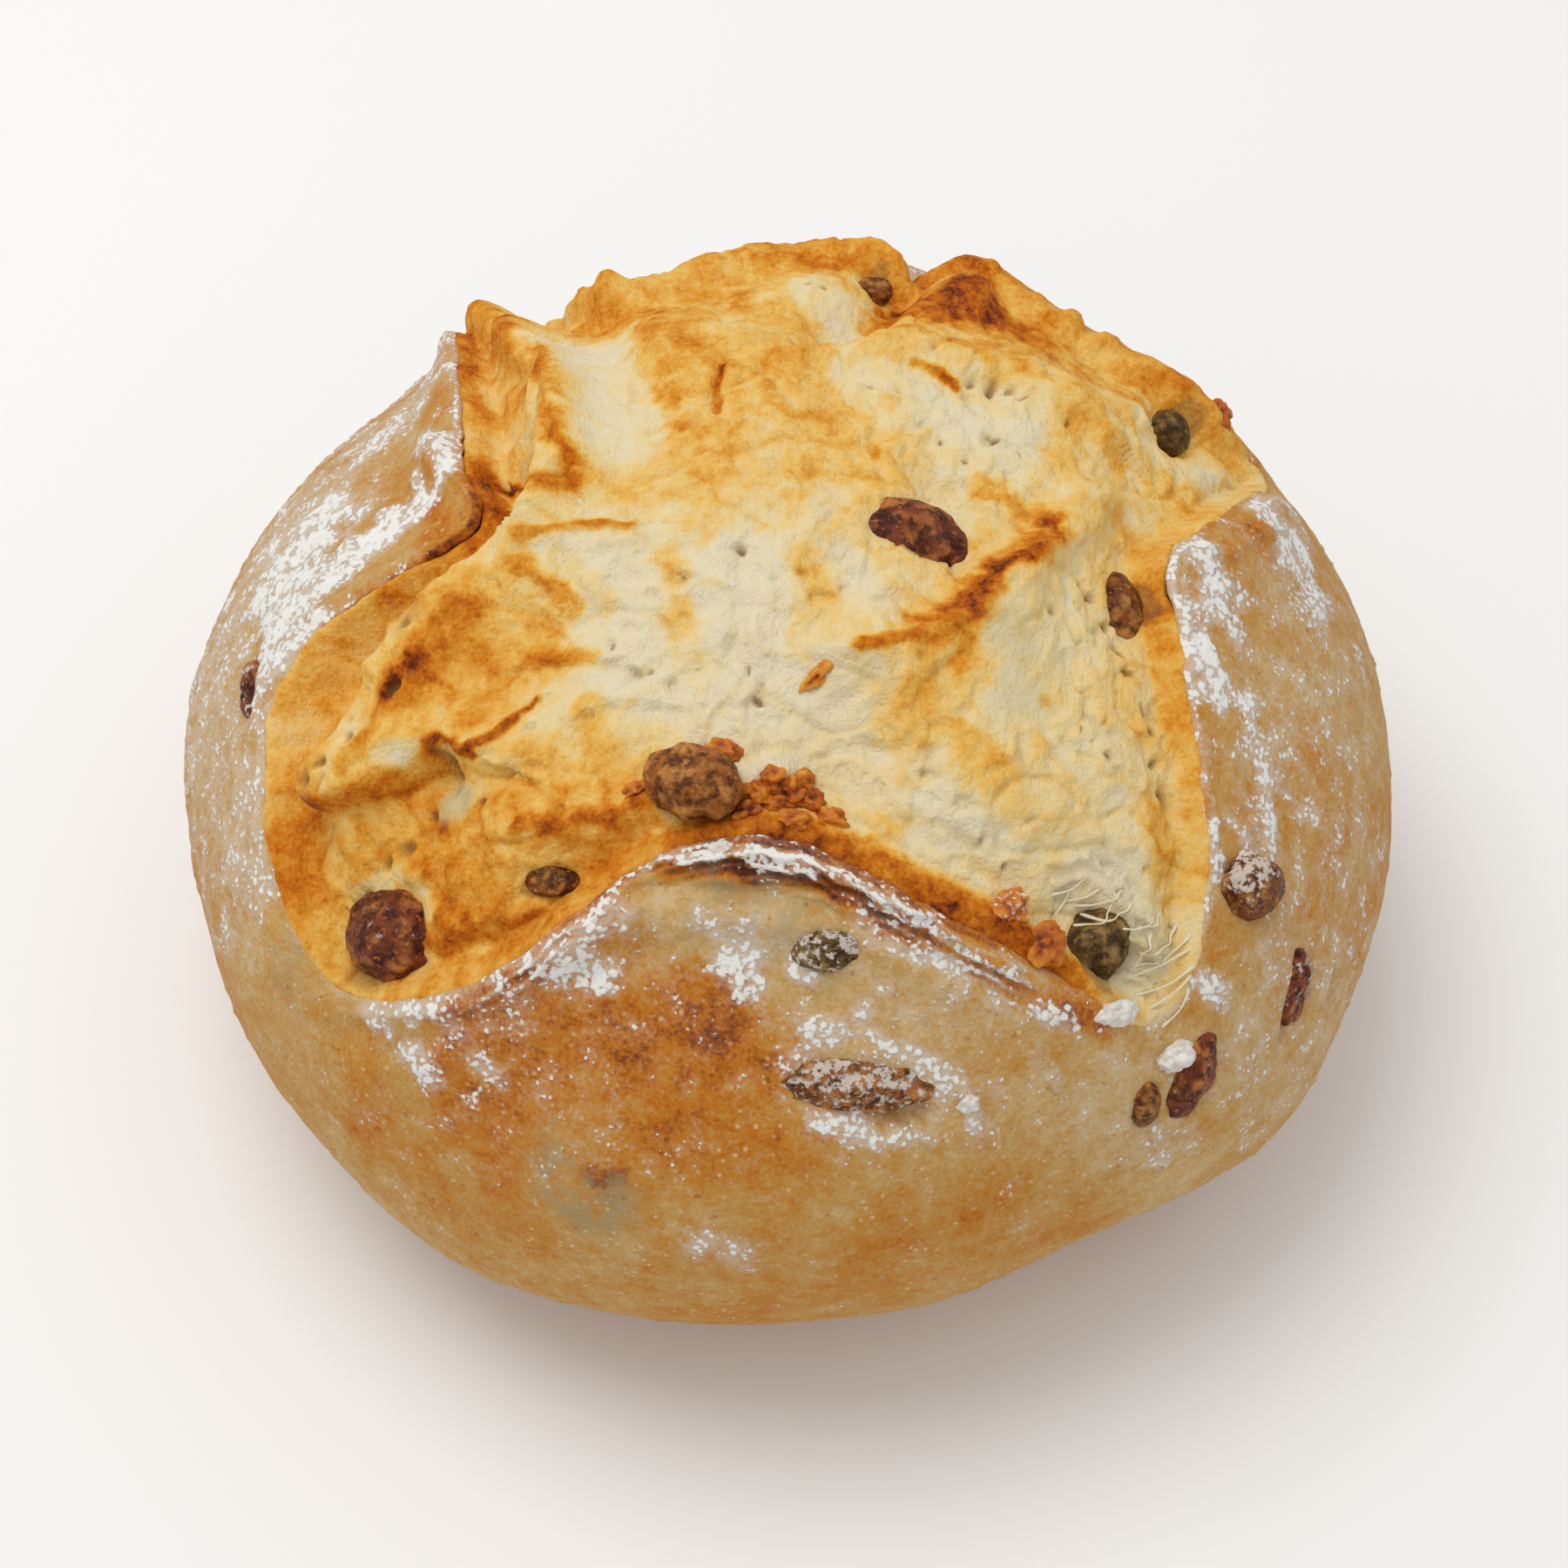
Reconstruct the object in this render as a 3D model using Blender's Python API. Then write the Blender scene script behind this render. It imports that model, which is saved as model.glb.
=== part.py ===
"""A round loaf of olive bread: a loaf whose cross-cut crust has burst open, and the olive pieces baked into it.

The loaf stands on its flat foot with +Z up and its origin at the middle of the foot. The front petal of the
crust points towards -Y. Places on the loaf are given on a chart: millimetres measured along the crust from the
crown, x to the right and y to the back. A lift is a height above the loaf's smooth envelope, in millimetres.
"""

import math
from typing import NamedTuple

import bmesh
import bpy
import numpy as np
from mathutils import Matrix, Vector, noise
from mathutils.bvhtree import BVHTree

MM = 0.001

# Envelope of the loaf, in millimetres
LOAF_RADIUS = 95.0
WAIST_HEIGHT = 46.0
CROWN_ABOVE_WAIST = 62.0
BELLY_BELOW_WAIST = 53.0
CROWN_ROUNDNESS = 2.0
BELLY_ROUNDNESS = 2.5
FOOT_RADIUS = LOAF_RADIUS * (1 - (WAIST_HEIGHT / BELLY_BELOW_WAIST) ** BELLY_ROUNDNESS) ** (1 / BELLY_ROUNDNESS)

# The foot's edge on the chart, and where the swells begin to fade above it, in millimetres
FOOT_REACH = LOAF_RADIUS * (math.pi - math.atan2(FOOT_RADIUS, WAIST_HEIGHT))
SWELLS_END = 186.0

# Loft of the loaf: segments run round the opening, rows run from the crumb's middle to the foot. An ease over 1
# draws the rows together at the first of them, and one under 1 at the last.
SEGMENTS = 98
CRUMB_ROWS = 22
CRUST_ROWS = 12
STEPS_BETWEEN_RIM_POINTS = 12
CRUMB_EASE = 0.8
CRUST_EASE = 1.35
OPENING_MIDDLE = (-8.0, -25.0)

# Crust at the opening, in millimetres
EDGE_THICKNESS = 2.6
EDGE_OVERHANG = 2.0
EDGE_UNDERCUT = 1.6
EDGE_ROUNDING = 1.1
NOSE_DROP = 0.55 * EDGE_THICKNESS
SEAM_DROP = 0.6
CURL_REACH = 15.0
CRUMB_SWELL = 3.0

# Unevenness, in millimetres
CRUST_WAVE = 1.1
CRUST_WAVE_LENGTH = 34.0
CRUMB_LUMP = 2.0
CRUMB_LUMP_LENGTH = 13.0
CALM_BESIDE_EDGE = 3.0

# Shares of the way along the rows between which the relief of the crumb and of the crust settles
CRUMB_SETTLES = (0.88, 1.0)
CRUST_SETTLES = (0.55, 0.9)

# Olive pieces
POCKET_GAP = 0.35
SMALL_OLIVE = 12.0
OLIVE_SEGMENTS = 12
OLIVE_RINGS = 8
SMALL_OLIVE_SEGMENTS = 10
SMALL_OLIVE_RINGS = 6
OLIVE_WRINKLE = 0.09
OLIVE_WRINKLES_ACROSS = 2.3

CRUST_COLOUR = (0.60, 0.33, 0.12, 1.0)
OLIVE_COLOUR = (0.13, 0.045, 0.03, 1.0)


class RimPoint(NamedTuple):
    """A point of the rim: its chart place, and the lifts of the crust's edge and of the crumb under it."""

    x: float
    y: float
    edge: float
    crumb: float


class Fold(NamedTuple):
    """A ridge (or, with a negative height, a furrow) along a line on the chart, with a reach on each side."""

    line: tuple
    height: float
    left: float
    right: float


class Bump(NamedTuple):
    """A round swelling, or with a negative height a hollow."""

    x: float
    y: float
    radius: float
    height: float


class Olive(NamedTuple):
    """An olive piece: its chart place, size, turn in degrees, and how far it stands proud of the loaf."""

    x: float
    y: float
    length: float
    width: float
    depth: float
    turn: float
    proud: float


FRONT_PETAL = (
    RimPoint(-84, -88, 1.0, -2.5),
    RimPoint(-69, -91, 3.0, -3.0),
    RimPoint(-54, -91, 4.5, -4.0),
    RimPoint(-42, -87, 5.5, -4.0),
    RimPoint(-30, -81, 6.0, -3.0),
    RimPoint(-20, -77, 6.5, -2.0),
    RimPoint(-8, -75.5, 7.0, -2.0),
    RimPoint(4, -77, 7.0, -2.0),
    RimPoint(18, -82, 6.0, -3.0),
    RimPoint(32, -87, 5.0, -4.0),
    RimPoint(46, -91, 4.0, -4.0),
    RimPoint(60, -95, 2.5, -3.0),
    RimPoint(70, -96, 1.0, -1.5),
)
RIGHT_PETAL = (
    RimPoint(77, -88, 1.5, -1.5),
    RimPoint(80, -70, 2.5, -1.5),
    RimPoint(79, -50, 3.0, -1.5),
    RimPoint(77, -28, 3.5, -1.5),
    RimPoint(76, -8, 4.0, -1.5),
    RimPoint(85, 5, 3.0, -2.0),
    RimPoint(96, 22, 2.5, -3.0),
    RimPoint(106, 40, 1.0, -3.0),
)
BACK_PETAL = (
    RimPoint(98, 46, 3.0, -1.0),
    RimPoint(84, 50, 5.0, 2.0),
    RimPoint(70, 56, 5.5, 3.0),
    RimPoint(52, 66, 6.0, 3.5),
    RimPoint(38, 76, 6.5, 3.5),
    RimPoint(28, 72, 2.5, 0.0),
    RimPoint(14, 78, 6.0, 3.5),
    RimPoint(-8, 75, 5.0, 3.0),
    RimPoint(-26, 68, 5.0, 3.0),
    RimPoint(-36, 66, 5.0, 2.5),
    RimPoint(-49, 77, 1.5, -2.0),
    RimPoint(-60, 86.5, -0.5, -3.5),
    RimPoint(-72, 94, 1.0, -2.5),
)
LEFT_PETAL = (
    RimPoint(-75.5, 83, 3.0, -3.0),
    RimPoint(-70.5, 68, 5.0, -3.0),
    RimPoint(-68, 47, 4.5, -3.0),
    RimPoint(-66, 26, 4.5, -4.0),
    RimPoint(-64, 10, 5.0, -4.0),
    RimPoint(-60, -2, 4.5, -3.5),
    RimPoint(-66, -9, 4.0, -4.0),
    RimPoint(-80, -14, 3.5, -5.0),
    RimPoint(-93, -20, 3.0, -5.5),
    RimPoint(-100, -32, 3.0, -6.0),
    RimPoint(-101, -48, 2.5, -6.0),
    RimPoint(-99, -63, 2.0, -5.0),
    RimPoint(-93, -78, 1.5, -3.5),
)

# The loaf's own departures from its envelope: it is lower behind each shoulder and leaner at the front right
SWELLS = (
    Bump(-98, 88, 52.0, -4.5),
    Bump(-140, 30, 34.0, -1.5),
    Bump(104, 80, 46.0, -5.5),
    Bump(92, -168, 38.0, -5.5),
    Bump(20, -190, 46.0, -2.5),
    Bump(138, -108, 26.0, 3.0),
    Bump(-92, -160, 30.0, 2.0),
    Bump(-158, -52, 36.0, -2.5),
)

CRUMB_FOLDS = (
    # the torn fold down the left arm, steep towards the left petal
    Fold(((-54, -15), (-64, -22), (-75, -29), (-80, -38), (-84, -46), (-92, -51)), 6.5, 12.0, 5.0),
    # the lip over the small cave below it
    Fold(((-94, -49), (-85, -52), (-78, -54), (-72, -52), (-65, -51), (-57, -56)), 3.0, 9.0, 3.0),
    # the hollow of the left arm beside the petal
    Fold(((-88, -28), (-94, -42), (-95, -58)), -3.0, 7.0, 7.0),
    # the ridge behind the front petal
    Fold(((-52, -69), (-37, -70), (-27, -70), (-18, -67), (0, -67)), 3.0, 5.0, 7.0),
    # the torn strap beside the left petal
    Fold(((-66, 76), (-58, 57), (-52, 42), (-48, 28), (-46, 16), (-45, 4), (-49, -5)), 5.5, 7.0, 5.5),
    # the step at the strap's foot
    Fold(((-58, -7), (-46, -9), (-33, -12)), 2.2, 3.0, 9.0),
    # the toasted ridge right of the middle
    Fold(((60, 2), (50, -15), (42, -26), (35, -34), (24, -41), (12, -42)), 3.5, 8.0, 4.0),
    # the torn step across the back
    Fold(((2, 36), (14, 36), (25, 39), (36, 35), (46, 36), (54, 31), (66, 24)), 3.2, 9.0, 4.5),
    # the furrow that runs from the notch in the back edge
    Fold(((29, 74), (22, 60), (10, 48), (4, 40)), -2.5, 6.0, 6.0),
    # the long swelling of the middle
    Fold(((-30, 8), (0, -20), (40, -50)), 2.5, 26.0, 26.0),
)
CRUMB_BUMPS = (
    Bump(-66, 80, 7.0, 2.5),
    Bump(-55, 78, 6.0, -3.0),
    Bump(41, 68, 8.0, 4.0),
    Bump(-20, 45, 13.0, 2.5),
    Bump(-50, 40, 7.0, -2.5),
    Bump(-68, -57, 5.0, -2.5),
    Bump(34, -3, 9.0, -2.5),
    Bump(57, -80, 9.0, -2.5),
    Bump(-78, -76, 9.0, -1.5),
    Bump(-28, 24, 12.0, -1.8),
    Bump(86, 38, 7.0, -2.5),
)
CRUST_FOLDS = (
    # the doubled edge of the front petal
    Fold(((-26, -82), (-14, -83), (0, -84), (14, -88), (30, -93), (44, -96)), -1.3, 1.8, 1.8),
    Fold(((-20, -88), (-4, -88), (12, -91), (28, -96)), 0.8, 3.0, 3.0),
    # the shadowed crease under the petal's rolled left side
    Fold(((-88, -93), (-72, -98), (-56, -98), (-42, -95), (-26, -92)), -1.2, 3.0, 3.5),
    # the wrinkle that runs down the left petal
    Fold(((-72, 20), (-84, 8), (-98, -8)), 0.8, 6.0, 6.0),
)
CRUST_BUMPS = (
    Bump(16, -114, 12.0, 1.6),
    Bump(80, -105, 10.0, 1.4),
    Bump(9, -95, 7.0, 1.0),
    Bump(-43, -128, 11.0, 1.5),
    Bump(93, -66, 8.0, 1.2),
    Bump(-68, 15, 5.0, 1.5),
    Bump(112, -74, 9.0, 1.0),
    Bump(-34, 142, 11.0, 1.5),
    Bump(62, 118, 11.0, 1.5),
    Bump(-50, 92, 13.0, -7.0),
    Bump(25, 91, 12.0, -6.0),
    Bump(-65, 102, 11.0, -4.5),
    Bump(-26, 86, 10.0, -4.5),
    Bump(4, 92, 11.0, -3.0),
    Bump(-48, 107, 18.0, -4.5),
    Bump(-22, 112, 14.0, -4.0),
    Bump(34, 108, 11.0, -3.0),
)

OLIVES = {
    "olive_middle": Olive(27.5, -15, 18.5, 13.0, 11.0, -18.0, 1.4),
    "olive_left_corner": Olive(-79.5, -81.5, 16.0, 14.0, 13.0, 10.0, 4.4),
    "olive_front_tip": Olive(-16, -66.5, 14.0, 10.2, 9.2, -12.0, 5.6),
    "olive_right_dusted": Olive(89.5, -68, 11.0, 9.0, 8.0, -10.0, 3.4),
    "olive_right_corner": Olive(61.5, -88, 12.4, 10.4, 8.6, 25.0, 1.8),
    "olive_right_wall": Olive(71.5, -19, 8.0, 12.0, 8.0, 0.0, 1.6),
    "olive_front_slit": Olive(16, -114, 24.0, 9.0, 8.0, -6.0, 1.0),
    "olive_front_right": Olive(82, -102.5, 8.5, 15.0, 8.0, -28.0, 1.4),
    "olive_front_right_small": Olive(72.5, -109, 5.0, 8.5, 6.0, 0.0, 1.0),
    "olive_front_grey": Olive(8.5, -92.5, 10.0, 6.5, 6.0, 10.0, 0.7),
    "olive_left_ledge": Olive(-45.5, -80, 9.0, 4.8, 5.4, 5.0, 1.3),
    "olive_left_crust": Olive(-107.5, -22.5, 5.0, 12.5, 6.0, 8.0, 0.8),
    "olive_right_slit": Olive(106, -80.5, 5.0, 14.0, 6.0, -12.0, 0.8),
    "olive_back_edge": Olive(86.5, 45, 8.0, 8.0, 7.4, 0.0, 2.0),
    "olive_back_top": Olive(20, 71, 6.0, 6.0, 5.0, 0.0, 1.2),
    "olive_rear_left": Olive(-34, 142, 13.0, 9.0, 8.0, 15.0, 1.4),
    "olive_rear_right": Olive(62, 118, 12.0, 8.0, 8.0, -30.0, 1.2),
}

# Set off centre by what the swells take from one side, so that the loaf's box is centred on the origin
LOAF_MIDDLE = np.array((-0.36, -0.42, WAIST_HEIGHT))


def chart_direction(chart):
    """Unit directions from the loaf's middle for chart places in millimetres."""
    reach = np.hypot(chart[:, 0], chart[:, 1])
    angle = reach / LOAF_RADIUS
    safe = np.maximum(reach, 1e-9)
    across = np.sin(angle) / safe
    return np.stack([chart[:, 0] * across, chart[:, 1] * across, np.cos(angle)], axis=1)


def envelope_distance(direction):
    """How far the smooth envelope lies from the loaf's middle along each direction."""
    level = np.hypot(direction[:, 0], direction[:, 1])
    upper = direction[:, 2] > 0
    height = np.where(upper, CROWN_ABOVE_WAIST, BELLY_BELOW_WAIST)
    power = np.where(upper, CROWN_ROUNDNESS, BELLY_ROUNDNESS)
    total = (level / LOAF_RADIUS) ** power + (np.abs(direction[:, 2]) / height) ** power
    return total ** (-1 / power)


def on_loaf(chart, lift):
    """Points in space, in millimetres, for chart places raised by lift."""
    direction = chart_direction(chart)
    reach = np.hypot(chart[:, 0], chart[:, 1])
    lift = lift + relief(chart, (), SWELLS) * (1 - rise(reach, SWELLS_END, FOOT_REACH))
    points = LOAF_MIDDLE + direction * (envelope_distance(direction) + lift)[:, None]
    points[:, 2] = np.maximum(points[:, 2], 0.0)
    return points


def rise(value, start, end):
    """0 below start, 1 above end, and a smooth way between them."""
    share = np.clip((value - start) / (end - start), 0.0, 1.0)
    return share * share * (3 - 2 * share)


def line_field(chart, line, left, right):
    """1 on a line, falling off to each side over its own reach."""
    line = np.array(line, float)
    nearest = np.full(len(chart), np.inf)
    side = np.ones(len(chart))
    for start, end in zip(line[:-1], line[1:]):
        run = end - start
        share = np.clip(((chart - start) @ run) / (run @ run), 0, 1)
        away = chart - (start + share[:, None] * run)
        distance = np.hypot(away[:, 0], away[:, 1])
        closer = distance < nearest
        nearest = np.where(closer, distance, nearest)
        side = np.where(closer, run[0] * away[:, 1] - run[1] * away[:, 0], side)
    reach = np.where(side > 0, left, right)
    return np.exp(-((nearest / reach) ** 2))


def relief(chart, folds, bumps):
    """The summed height of folds and bumps at chart places."""
    height = np.zeros(len(chart))
    for fold in folds:
        height += fold.height * line_field(chart, fold.line, fold.left, fold.right)
    for bump in bumps:
        distance = np.hypot(chart[:, 0] - bump.x, chart[:, 1] - bump.y)
        height += bump.height * np.exp(-((distance / bump.radius) ** 2))
    return height


def waviness(chart, length):
    """Smooth noise over the loaf, about -1 to 1, with lumps of the given length."""
    points = on_loaf(chart, np.zeros(len(chart))) / length
    return np.array([noise.noise(Vector(point)) for point in points])


def rim_samples(count):
    """The rim as a closed smooth curve of count evenly spaced rows: x, y, edge lift, crumb lift."""
    corners = np.array(FRONT_PETAL + RIGHT_PETAL + BACK_PETAL + LEFT_PETAL, float)
    share = np.linspace(0, 1, STEPS_BETWEEN_RIM_POINTS, endpoint=False)[:, None]
    before, after, beyond = (np.roll(corners, shift, axis=0) for shift in (1, -1, -2))
    pieces = []
    for p0, p1, p2, p3 in zip(before, corners, after, beyond):
        pieces.append(
            p1
            + 0.5 * share * (p2 - p0)
            + share**2 * (p0 - 2.5 * p1 + 2 * p2 - 0.5 * p3)
            + share**3 * (1.5 * (p1 - p2) + 0.5 * (p3 - p0))
        )
    curve = np.concatenate(pieces)
    closed = np.vstack([curve, curve[:1]])
    length = np.concatenate([[0], np.cumsum(np.hypot(*np.diff(closed[:, :2], axis=0).T))])
    at = np.linspace(0, length[-1], count, endpoint=False)
    return np.stack([np.interp(at, length, closed[:, k]) for k in range(4)], axis=1)


def rim_outward(rim):
    """Unit chart directions that point from the opening into the crust, at each rim sample."""
    along = np.roll(rim[:, :2], -1, axis=0) - np.roll(rim[:, :2], 1, axis=0)
    across = np.stack([along[:, 1], -along[:, 0]], axis=1)
    return across / np.hypot(across[:, 0], across[:, 1])[:, None]


def foot_circle(rim):
    """Where each line of the crust meets the edge of the foot, on the chart."""
    spoke = rim[:, :2] - OPENING_MIDDLE
    angle = np.unwrap(np.arctan2(spoke[:, 1], spoke[:, 0]))
    even = angle[0] + np.linspace(0, 2 * math.pi, len(rim), endpoint=False)
    angle = 0.5 * (angle + even)
    return FOOT_REACH * np.stack([np.cos(angle), np.sin(angle)], axis=1)


def crumb_row(rim, outward, share):
    """One row of the crumb, share of the way from the opening's middle to under the crust's edge."""
    under_edge = rim[:, :2] + outward * EDGE_OVERHANG
    chart = OPENING_MIDDLE + (under_edge - OPENING_MIDDLE) * share
    seam = np.minimum(rim[:, 3], rim[:, 2] - EDGE_THICKNESS - SEAM_DROP)
    base = CRUMB_SWELL + (seam - CRUMB_SWELL) * share**3
    rough = relief(chart, CRUMB_FOLDS, CRUMB_BUMPS) + CRUMB_LUMP * waviness(chart, CRUMB_LUMP_LENGTH)
    return on_loaf(chart, base + rough * (1 - rise(share, *CRUMB_SETTLES)))


def edge_rows(rim, outward):
    """The underside, nose and top of the crust's edge."""
    rows = []
    for inset, drop in ((EDGE_UNDERCUT, EDGE_THICKNESS), (0.0, NOSE_DROP), (EDGE_ROUNDING, 0.0)):
        chart = rim[:, :2] + outward * inset
        rows.append(on_loaf(chart, rim[:, 2] - drop))
    return rows


def crust_row(rim, outward, foot, share):
    """One row of the crust's outer face, share of the way from the edge to the foot."""
    start = rim[:, :2] + outward * EDGE_ROUNDING
    chart = start + (foot - start) * share**CRUST_EASE
    away = np.hypot(*(chart - start).T)
    lift = rim[:, 2] * np.exp(-((away / CURL_REACH) ** 2))
    rough = relief(chart, CRUST_FOLDS, CRUST_BUMPS) + CRUST_WAVE * waviness(chart, CRUST_WAVE_LENGTH)
    free = (1 - rise(share, *CRUST_SETTLES)) * rise(away, 0.0, CALM_BESIDE_EDGE)
    return on_loaf(chart, lift + rough * free)


def loaf_rows():
    """Every row of the loaf, from the crumb's middle, over the crust's edge and down to the foot's middle."""
    rim = rim_samples(SEGMENTS)
    outward = rim_outward(rim)
    foot = foot_circle(rim)
    rows = [crumb_row(rim, outward, (k / CRUMB_ROWS) ** CRUMB_EASE) for k in range(CRUMB_ROWS + 1)]
    rows += edge_rows(rim, outward)
    rows += [crust_row(rim, outward, foot, k / CRUST_ROWS) for k in range(1, CRUST_ROWS + 1)]
    rows[-1][:, 2] = 0.0
    rows.append(rows[-1] * 0.5)
    rows.append(rows[-1] * 0.0)
    return rows


def build_loaf(collection):
    """The loaf: a sphere whose rings are laid on the loaf's rows, one after the other."""
    rows = loaf_rows()
    mesh = bpy.data.meshes.new("loaf")
    shape = bmesh.new()
    rings = len(rows) - 1
    bmesh.ops.create_uvsphere(shape, u_segments=SEGMENTS, v_segments=rings, radius=1.0)
    for vertex in shape.verts:
        ring = round(math.acos(max(-1.0, min(1.0, vertex.co.z))) * rings / math.pi)
        turn = math.atan2(vertex.co.y, vertex.co.x) / (2 * math.pi)
        vertex.co = Vector(rows[ring][round(turn * SEGMENTS) % SEGMENTS] * MM)
    bmesh.ops.recalc_face_normals(shape, faces=shape.faces)
    bmesh.ops.triangulate(shape, faces=shape.faces)
    shape.to_mesh(mesh)
    shape.free()
    mesh.shade_smooth()
    mesh.set_sharp_from_angle(angle=math.radians(50))
    loaf = bpy.data.objects.new("loaf", mesh)
    collection.objects.link(loaf)
    return loaf


def surface_tree(obj):
    return BVHTree.FromPolygons(
        [vertex.co for vertex in obj.data.vertices], [face.vertices for face in obj.data.polygons]
    )


def seat(tree, olive):
    """The place and turn of an olive piece that rests in the loaf's surface at its chart place."""
    outward = Vector(chart_direction(np.array([[olive.x, olive.y]]))[0])
    middle = Vector(LOAF_MIDDLE) * MM
    hit = tree.ray_cast(middle + outward * (2 * LOAF_RADIUS * MM), -outward)[0]
    right = Vector((1, 0, 0)) - outward * outward.x
    right.normalize()
    back = outward.cross(right)
    turned = Matrix((right, back, outward)).transposed() @ Matrix.Rotation(math.radians(olive.turn), 3, "Z")
    centre = hit + outward * ((olive.proud - olive.depth / 2) * MM)
    return Matrix.Translation(centre) @ turned.to_4x4()


def olive_mesh(name, olive, grow):
    """A shrunken olive piece: a sphere drawn out to its size, dented by its wrinkles, and grown by a margin."""
    mesh = bpy.data.meshes.new(name)
    shape = bmesh.new()
    small = olive.length < SMALL_OLIVE
    segments = SMALL_OLIVE_SEGMENTS if small else OLIVE_SEGMENTS
    rings = SMALL_OLIVE_RINGS if small else OLIVE_RINGS
    bmesh.ops.create_uvsphere(shape, u_segments=segments, v_segments=rings, radius=1.0)
    half = Vector((olive.length, olive.width, olive.depth)) / 2
    for vertex in shape.verts:
        at = vertex.co * OLIVE_WRINKLES_ACROSS + Vector((olive.x, olive.y, 0))
        vertex.co = vertex.co * half * (1 + OLIVE_WRINKLE * noise.noise(at)) * MM
    shape.normal_update()
    for vertex in shape.verts:
        vertex.co += vertex.normal * (grow * MM)
    bmesh.ops.triangulate(shape, faces=shape.faces)
    shape.to_mesh(mesh)
    shape.free()
    mesh.shade_smooth()
    return mesh


def build_olives(loaf, collection, cutters):
    """The olive pieces, and the pocket that each of them fills in the loaf."""
    tree = surface_tree(loaf)
    skin = material("olive", OLIVE_COLOUR, 0.35)
    for name, olive in OLIVES.items():
        place = seat(tree, olive)
        piece = bpy.data.objects.new(name, olive_mesh(name, olive, 0.0))
        piece.matrix_world = place
        piece.data.materials.append(skin)
        collection.objects.link(piece)
        pocket = bpy.data.objects.new(f"pocket_{name}", olive_mesh(f"pocket_{name}", olive, POCKET_GAP))
        pocket.matrix_world = place
        pocket.hide_render = True
        pocket.display_type = "WIRE"
        cutters.objects.link(pocket)
    pockets = loaf.modifiers.new("pockets", "BOOLEAN")
    pockets.operation = "DIFFERENCE"
    pockets.solver = "EXACT"
    pockets.operand_type = "COLLECTION"
    pockets.collection = cutters


def material(name, colour, roughness):
    made = bpy.data.materials.new(name)
    made.use_nodes = True
    shader = made.node_tree.nodes["Principled BSDF"]
    shader.inputs["Base Color"].default_value = colour
    shader.inputs["Roughness"].default_value = roughness
    shader.inputs["Metallic"].default_value = 0.0
    return made


def new_collection(name):
    made = bpy.data.collections.new(name)
    bpy.context.scene.collection.children.link(made)
    return made


def main():
    for obj in list(bpy.data.objects):
        bpy.data.objects.remove(obj)
    bread = new_collection("olive_bread")
    cutters = new_collection("cutters")
    loaf = build_loaf(bread)
    loaf.data.materials.append(material("crust", CRUST_COLOUR, 0.7))
    build_olives(loaf, bread, cutters)


main()
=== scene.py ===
"""Dresses the loaf of olive bread: its baked crust, its torn crumb, the olive pieces and the bits baked onto it.

Places on the loaf are given on a chart, as in the model: millimetres measured along the crust from the crown,
x to the right and y to the back. A lift is a height above the loaf's smooth envelope, in millimetres.
"""

import math
from itertools import product
from typing import NamedTuple

import bpy
import numpy as np
from mathutils import Matrix, Vector, noise
from mathutils.bvhtree import BVHTree


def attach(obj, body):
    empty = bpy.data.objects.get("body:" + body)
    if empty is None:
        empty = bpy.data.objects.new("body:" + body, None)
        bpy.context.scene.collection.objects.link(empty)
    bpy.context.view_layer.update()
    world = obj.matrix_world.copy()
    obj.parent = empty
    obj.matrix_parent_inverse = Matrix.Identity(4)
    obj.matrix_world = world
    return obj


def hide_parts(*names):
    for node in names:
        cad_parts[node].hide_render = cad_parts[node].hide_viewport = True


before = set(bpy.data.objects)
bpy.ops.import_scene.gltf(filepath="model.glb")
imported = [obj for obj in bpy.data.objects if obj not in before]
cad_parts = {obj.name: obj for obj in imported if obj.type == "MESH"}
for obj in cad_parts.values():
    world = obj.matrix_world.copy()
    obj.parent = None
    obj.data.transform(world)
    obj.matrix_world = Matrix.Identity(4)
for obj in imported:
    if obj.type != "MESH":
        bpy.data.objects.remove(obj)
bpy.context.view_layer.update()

bl_info = {
    "name": "Olive bread",
    "version": (1, 0, 0),
    "blender": (4, 5, 0),
    "location": "3D View > Sidebar > Bread",
    "description": "Dresses a loaf of olive bread and sets its stage",
    "category": "Object",
}

MM = 0.001

# Envelope of the loaf, in millimetres
LOAF_RADIUS = 95.0
WAIST_HEIGHT = 46.0
CROWN_ABOVE_WAIST = 62.0
BELLY_BELOW_WAIST = 53.0
CROWN_ROUNDNESS = 2.0
BELLY_ROUNDNESS = 2.5
FOOT_RADIUS = LOAF_RADIUS * (1 - (WAIST_HEIGHT / BELLY_BELOW_WAIST) ** BELLY_ROUNDNESS) ** (1 / BELLY_ROUNDNESS)
FOOT_REACH = LOAF_RADIUS * (math.pi - math.atan2(FOOT_RADIUS, WAIST_HEIGHT))
SWELLS_END = 186.0
FOOT_SHADE_BEGINS = 34
FOOT_SHADE_FULL = 6
FOOT_ROWS = (0.8, 0.55, 0.3)
LOAF_MIDDLE = np.array((-0.36, -0.42, WAIST_HEIGHT))

# The opening in the crust and the crust's edge, in millimetres
OPENING_MIDDLE = (-8.0, -25.0)
STEPS_BETWEEN_RIM_POINTS = 12
EDGE_OVERHANG = 2.0
EDGE_ROUNDING = 1.1
SEAM_DROP = 0.6
CURL_REACH = 15.0
SUNK_REACH = 3.5
RUFFLE_REACH = 3.0
LAYER_SPACING = 1.9
EDGE_BAKE_REACH = 1.6
CRUMB_SWELL = 3.0
CRUST_EASE = 1.35
CRUMB_TUCK = 3.0
CRUMB_LAP = 5.0

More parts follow.
